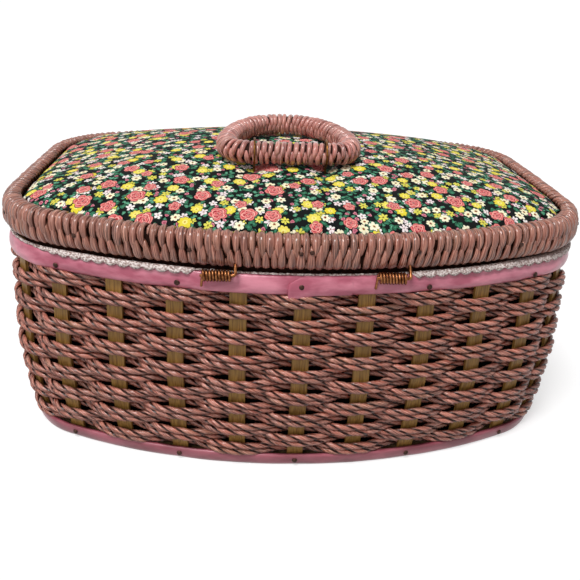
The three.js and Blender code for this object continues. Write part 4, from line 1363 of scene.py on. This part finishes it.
# %% [markdown]
# ### The handle's wires
# Two thin brass wires hold the handle by its straight bar. Each comes up through the lid, goes over
# the bar and down again, and is drawn in below it, so that the bar can turn but not slip out. The
# line is most of a circle round the bar with two straight legs.

# %% Tie the handle down
TIE_RADIUS, TIE_WIRE, TIE_LEG_TOP = 7.5, 1.2, 151.0
turn = np.radians(np.linspace(250, -70, 48))
tie_y = np.concatenate([[-TIE_LEG, -TIE_LEG], TIE_RADIUS * np.cos(turn), [TIE_LEG, TIE_LEG]])
tie_z = np.concatenate([[PAD_BOTTOM, TIE_LEG_TOP], HANDLE_BAR_HEIGHT + TIE_RADIUS * np.sin(turn),
                        [TIE_LEG_TOP, PAD_BOTTOM]])
for side, x in (("left", -TIE_OFFSET), ("right", TIE_OFFSET)):
    line = np.column_stack([np.full(len(turn) + 4, HANDLE_X + x), HANDLE_BAR_Y + tie_y, tie_z])
    finish_piece(wire(f"tie_wire_{side}", line, (1, 0, 0), TIE_WIRE / 2), aged_brass, "lid",
                 f"handle_tie_{side}", slot="brass")

# %% [markdown]
# ### The clasp
# The clasp is on the far side: a plate with a barrel, a wire loop that swings in it, and a knob on
# the rim that the loop goes over. The photograph doesn't show it, so it is a common one. The loop
# is a rectangle of wire whose two ends meet inside the barrel. It hangs open.

# %% Bend the clasp's loop
CLASP_Y, CLASP_Z, CLASP_WIRE, CLASP_WIDTH, CLASP_LENGTH = 132.0, 111.15, 1.8, 12.0, 23.5
PLATE_BACK, PLATE_HALF_WIDTH, PLATE_HALF_HEIGHT, KNOB_Z = 126.9, 4.0, 4.5, 128.25
half, low = CLASP_WIDTH / 2, CLASP_Z - CLASP_LENGTH
corners = [(x, CLASP_Y, z) for x, z in ((-1, CLASP_Z), (-half, CLASP_Z), (-half, low), (half, low),
                                        (half, CLASP_Z), (1, CLASP_Z))]
finish_piece(wire("clasp_wire", bent_line(corners, 1.5), (0, 1, 0), CLASP_WIRE / 2), brass,
             "clasp_loop", "clasp_loop", slot="brass")

# %% [markdown]
# ### The clasp's plate
# Such a plate is stamped from sheet brass, with rounded corners, and its edge is rolled into a
# barrel that holds the wire. Here the plate, the barrel and the strip between them are three closed
# forms in one piece. Each is a small grid that is rolled up, and its lists of numbers say how far
# it has come and how wide it is there.


# %% Make the clasp's plate
def rounded(values, power):
    """A sine and cosine of one angle draw a circle, and with a small power a rounded square."""
    return np.sign(values) * np.abs(values) ** power


def plate_place(column, row):
    """A slab with rounded corners: columns go through it from back to front, rows go round it."""
    turn = 2 * np.pi * (row % 48) / 48
    depth = np.array([0, 0, 0.25, 0.95, 1.2, 1.2])[column]
    size = np.array([0, 0.94, 1, 1, 0.9, 0])[column]
    x = PLATE_HALF_WIDTH * size * rounded(np.cos(turn), 0.35)
    z = PLATE_HALF_HEIGHT * size * rounded(np.sin(turn), 0.35)
    return np.column_stack([x, PLATE_BACK + depth, CLASP_Z + z])


def barrel_place(column, row):
    """A short thick tube along X, round the loop's two ends."""
    turn = 2 * np.pi * (column % 32) / 32
    along = np.array([-4, -3.8, -3.4, 3.4, 3.8, 4, 4, -4])[row % 8]
    radius = np.array([1.7, 2.2, 2.4, 2.4, 2.2, 1.7, 1.2, 1.2])[row % 8]
    return np.column_stack([along, CLASP_Y + radius * np.cos(turn), CLASP_Z + radius * np.sin(turn)])


def web_place(column, row):
    """The strip that joins the barrel to the plate."""
    turn = 2 * np.pi * (row % 16) / 16
    depth = np.array([127.6, 127.6, 129.0, 130.6, 130.6])[column]
    size = np.array([0, 1, 0.9, 1, 0])[column]
    x, z = 3.9 * size * rounded(np.cos(turn), 0.3), 1.5 * size * rounded(np.sin(turn), 0.3)
    return np.column_stack([x, depth, CLASP_Z + z])


staple = joined("clasp_plate", [
    rolled_grid("plate", 5, 48, plate_place, np.arange(6), 40),
    rolled_grid("barrel", 32, 8, barrel_place, np.arange(33), 20),
    rolled_grid("web", 4, 16, web_place, np.arange(5), 20),
])
select_only(staple)
bpy.ops.object.shade_smooth_by_angle(angle=math.radians(40))
finish_piece(staple, brass, "basket", "clasp_staple", slot="brass")

# %% [markdown]
# ### The clasp's knob
# Such a knob is turned on a lathe. Its profile lists radii from its foot against the rim to its
# round head, and the neck between them is where the wire loop rests when it is closed.


# %% Turn the clasp's knob
def turned_piece(name, profile, x, y, z, sides=24):
    """A turned piece whose axis runs along Y: the profile is a list of (radius, distance)."""
    profile = np.array(profile, dtype=float)
    path = np.column_stack([np.full(len(profile), x), y + profile[:, 1], np.full(len(profile), z)])
    across = np.tile([1.0, 0.0, 0.0], (len(profile), 1))
    upward = np.tile([0.0, 0.0, 1.0], (len(profile), 1))
    return framed_tube(name, path, across, upward, profile[:, 0], profile[:, 0], sides)


knob_profile = [(0, 0), (4.4, 0), (4.5, 0.3), (4.4, 0.9), (3.2, 1.2), (2.1, 1.6), (2.0, 2.6),
                (2.2, 3.5), (3.4, 4.0), (3.95, 4.8), (4.0, 5.6), (3.6, 6.4), (2.4, 6.85), (0, 7.0)]
knob = turned_piece("clasp_button", knob_profile, 0, LID_WIDTH / 2 + GAP, KNOB_Z)
finish_piece(knob, brass, "lid", "clasp_knob", slot="brass")

# %% [markdown]
# ## Camera
# The camera's place was worked out from points of the photograph. It looks down at the hinge side
# from in front, and is turned a little to the right and tilted. The numbers are angles in radians,
# millimetres and, for the lens and the shift, pixels of a picture 580 pixels wide.

# %% Place the camera
PITCH, YAW, ROLL = 0.415, 0.080, 0.048
CAMERA_PLACE, FOCAL_PIXELS, PICTURE, SENSOR = (-30.24, -448.85, 253.02), 720.12, 580, 36.0
# The pixel of the photograph that the camera's axis meets lies close to the picture's middle.
AXIS_COLUMN, AXIS_ROW = 295.62, 287.79
look = Vector((math.sin(YAW) * math.cos(PITCH), math.cos(YAW) * math.cos(PITCH), -math.sin(PITCH)))
level = look.cross(Vector((0, 0, 1))).normalized()
above = level.cross(look)
right = level * math.cos(ROLL) + above * math.sin(ROLL)
upward = above * math.cos(ROLL) - level * math.sin(ROLL)
bpy.ops.object.camera_add()
camera = bpy.context.object
turned = Matrix((right, upward, -look)).transposed().to_4x4()
camera.matrix_world = Matrix.Translation(Vector(CAMERA_PLACE) * MM) @ turned
camera.data.sensor_width = SENSOR
camera.data.lens = FOCAL_PIXELS / PICTURE * SENSOR
camera.data.shift_x = (PICTURE / 2 - AXIS_COLUMN) / PICTURE
camera.data.shift_y = (AXIS_ROW - PICTURE / 2) / PICTURE
bpy.context.scene.camera = camera
print("lens", round(camera.data.lens, 2), "mm")

# %% [markdown]
# ## Floor and light
# The basket stands on plain pale paper in a studio. The floor glows a little for rays that the
# camera sees, so that it looks white and still takes the basket's shadow, and no more light falls
# on the basket. One soft lamp shines from high in front of it, and a weaker one lower down lightens
# the shadows between the cords.


# %% Lay the floor
def seen_directly(material):
    """1 for rays that the camera sees, also by a reflection or through glass, and 0 for others."""
    path = add_node(material, "ShaderNodeLightPath")
    seen = add_node(material, "ShaderNodeMath",
                    {0: path.outputs["Is Camera Ray"], 1: path.outputs["Is Glossy Ray"]},
                    operation="MAXIMUM")
    return add_node(material, "ShaderNodeMath",
                    {0: seen.outputs[0], 1: path.outputs["Is Transmission Ray"]},
                    operation="MAXIMUM").outputs[0]


# The floor is 60 m wide, so that no view shows its edge. It lies 0.4 mm below the basket's foot.
FLOOR_SIZE, FLOOR_LEVEL, FLOOR_GLOW, SKY_LIGHT = 60.0, -0.0004, 0.6, 0.15
bpy.ops.object.select_all(action="DESELECT")
bpy.ops.mesh.primitive_plane_add(size=FLOOR_SIZE, location=(0, 0, FLOOR_LEVEL))
floor = bpy.context.object
floor.name = "floor"
bpy.ops.object.transform_apply(location=True, rotation=True, scale=True)
floor_paper, floor_shader = new_material("white paper floor", roughness=0.95,
                                         specular_ior_level=0.1, base_color=colour("#b8b8b8"),
                                         emission_color=(1, 1, 1, 1))
glow = add_node(floor_paper, "ShaderNodeMath", {0: seen_directly(floor_paper), 1: FLOOR_GLOW},
                operation="MULTIPLY")
link(floor_paper, glow.outputs[0], floor_shader, "Emission Strength")
floor.data.materials.append(floor_paper)

# %% [markdown]
# ### World and lamps
# The sky gives a little light from everywhere and is white where the camera looks at it. Sun lamps
# light the far and the near side alike. A wide one has soft shadows, as a photographer's umbrella
# has.

# %% World and lamps
world = bpy.data.worlds.new("studio")
bpy.context.scene.world = world
world.use_nodes = True
background = world.node_tree.nodes["Background"]
background.inputs["Color"].default_value = (1, 1, 1, 1)
shine = add_node(world, "ShaderNodeMath",
                 {0: seen_directly(world), 1: 1 - SKY_LIGHT, 2: SKY_LIGHT},
                 operation="MULTIPLY_ADD")
link(world, shine.outputs[0], background, "Strength")


def soft_lamp(name, elevation, azimuth, width, strength):
    """A far lamp that looks width degrees wide. A strength of pi lights a facing sheet fully."""
    bpy.ops.object.light_add(type="SUN", location=(0, 0, 2))
    lamp = bpy.context.object
    lamp.name = name
    lamp.data.angle = math.radians(width)
    lamp.data.energy = strength
    lamp.rotation_euler = (math.radians(90 - elevation), 0, math.radians(azimuth))
    print(name, "lights a facing sheet by", round(strength / math.pi, 2))


soft_lamp("lamp_above", elevation=66, azimuth=-32, width=20, strength=2.45)
soft_lamp("lamp_front", elevation=32, azimuth=-38, width=40, strength=0.66)
bpy.context.scene.view_settings.view_transform = "Standard"
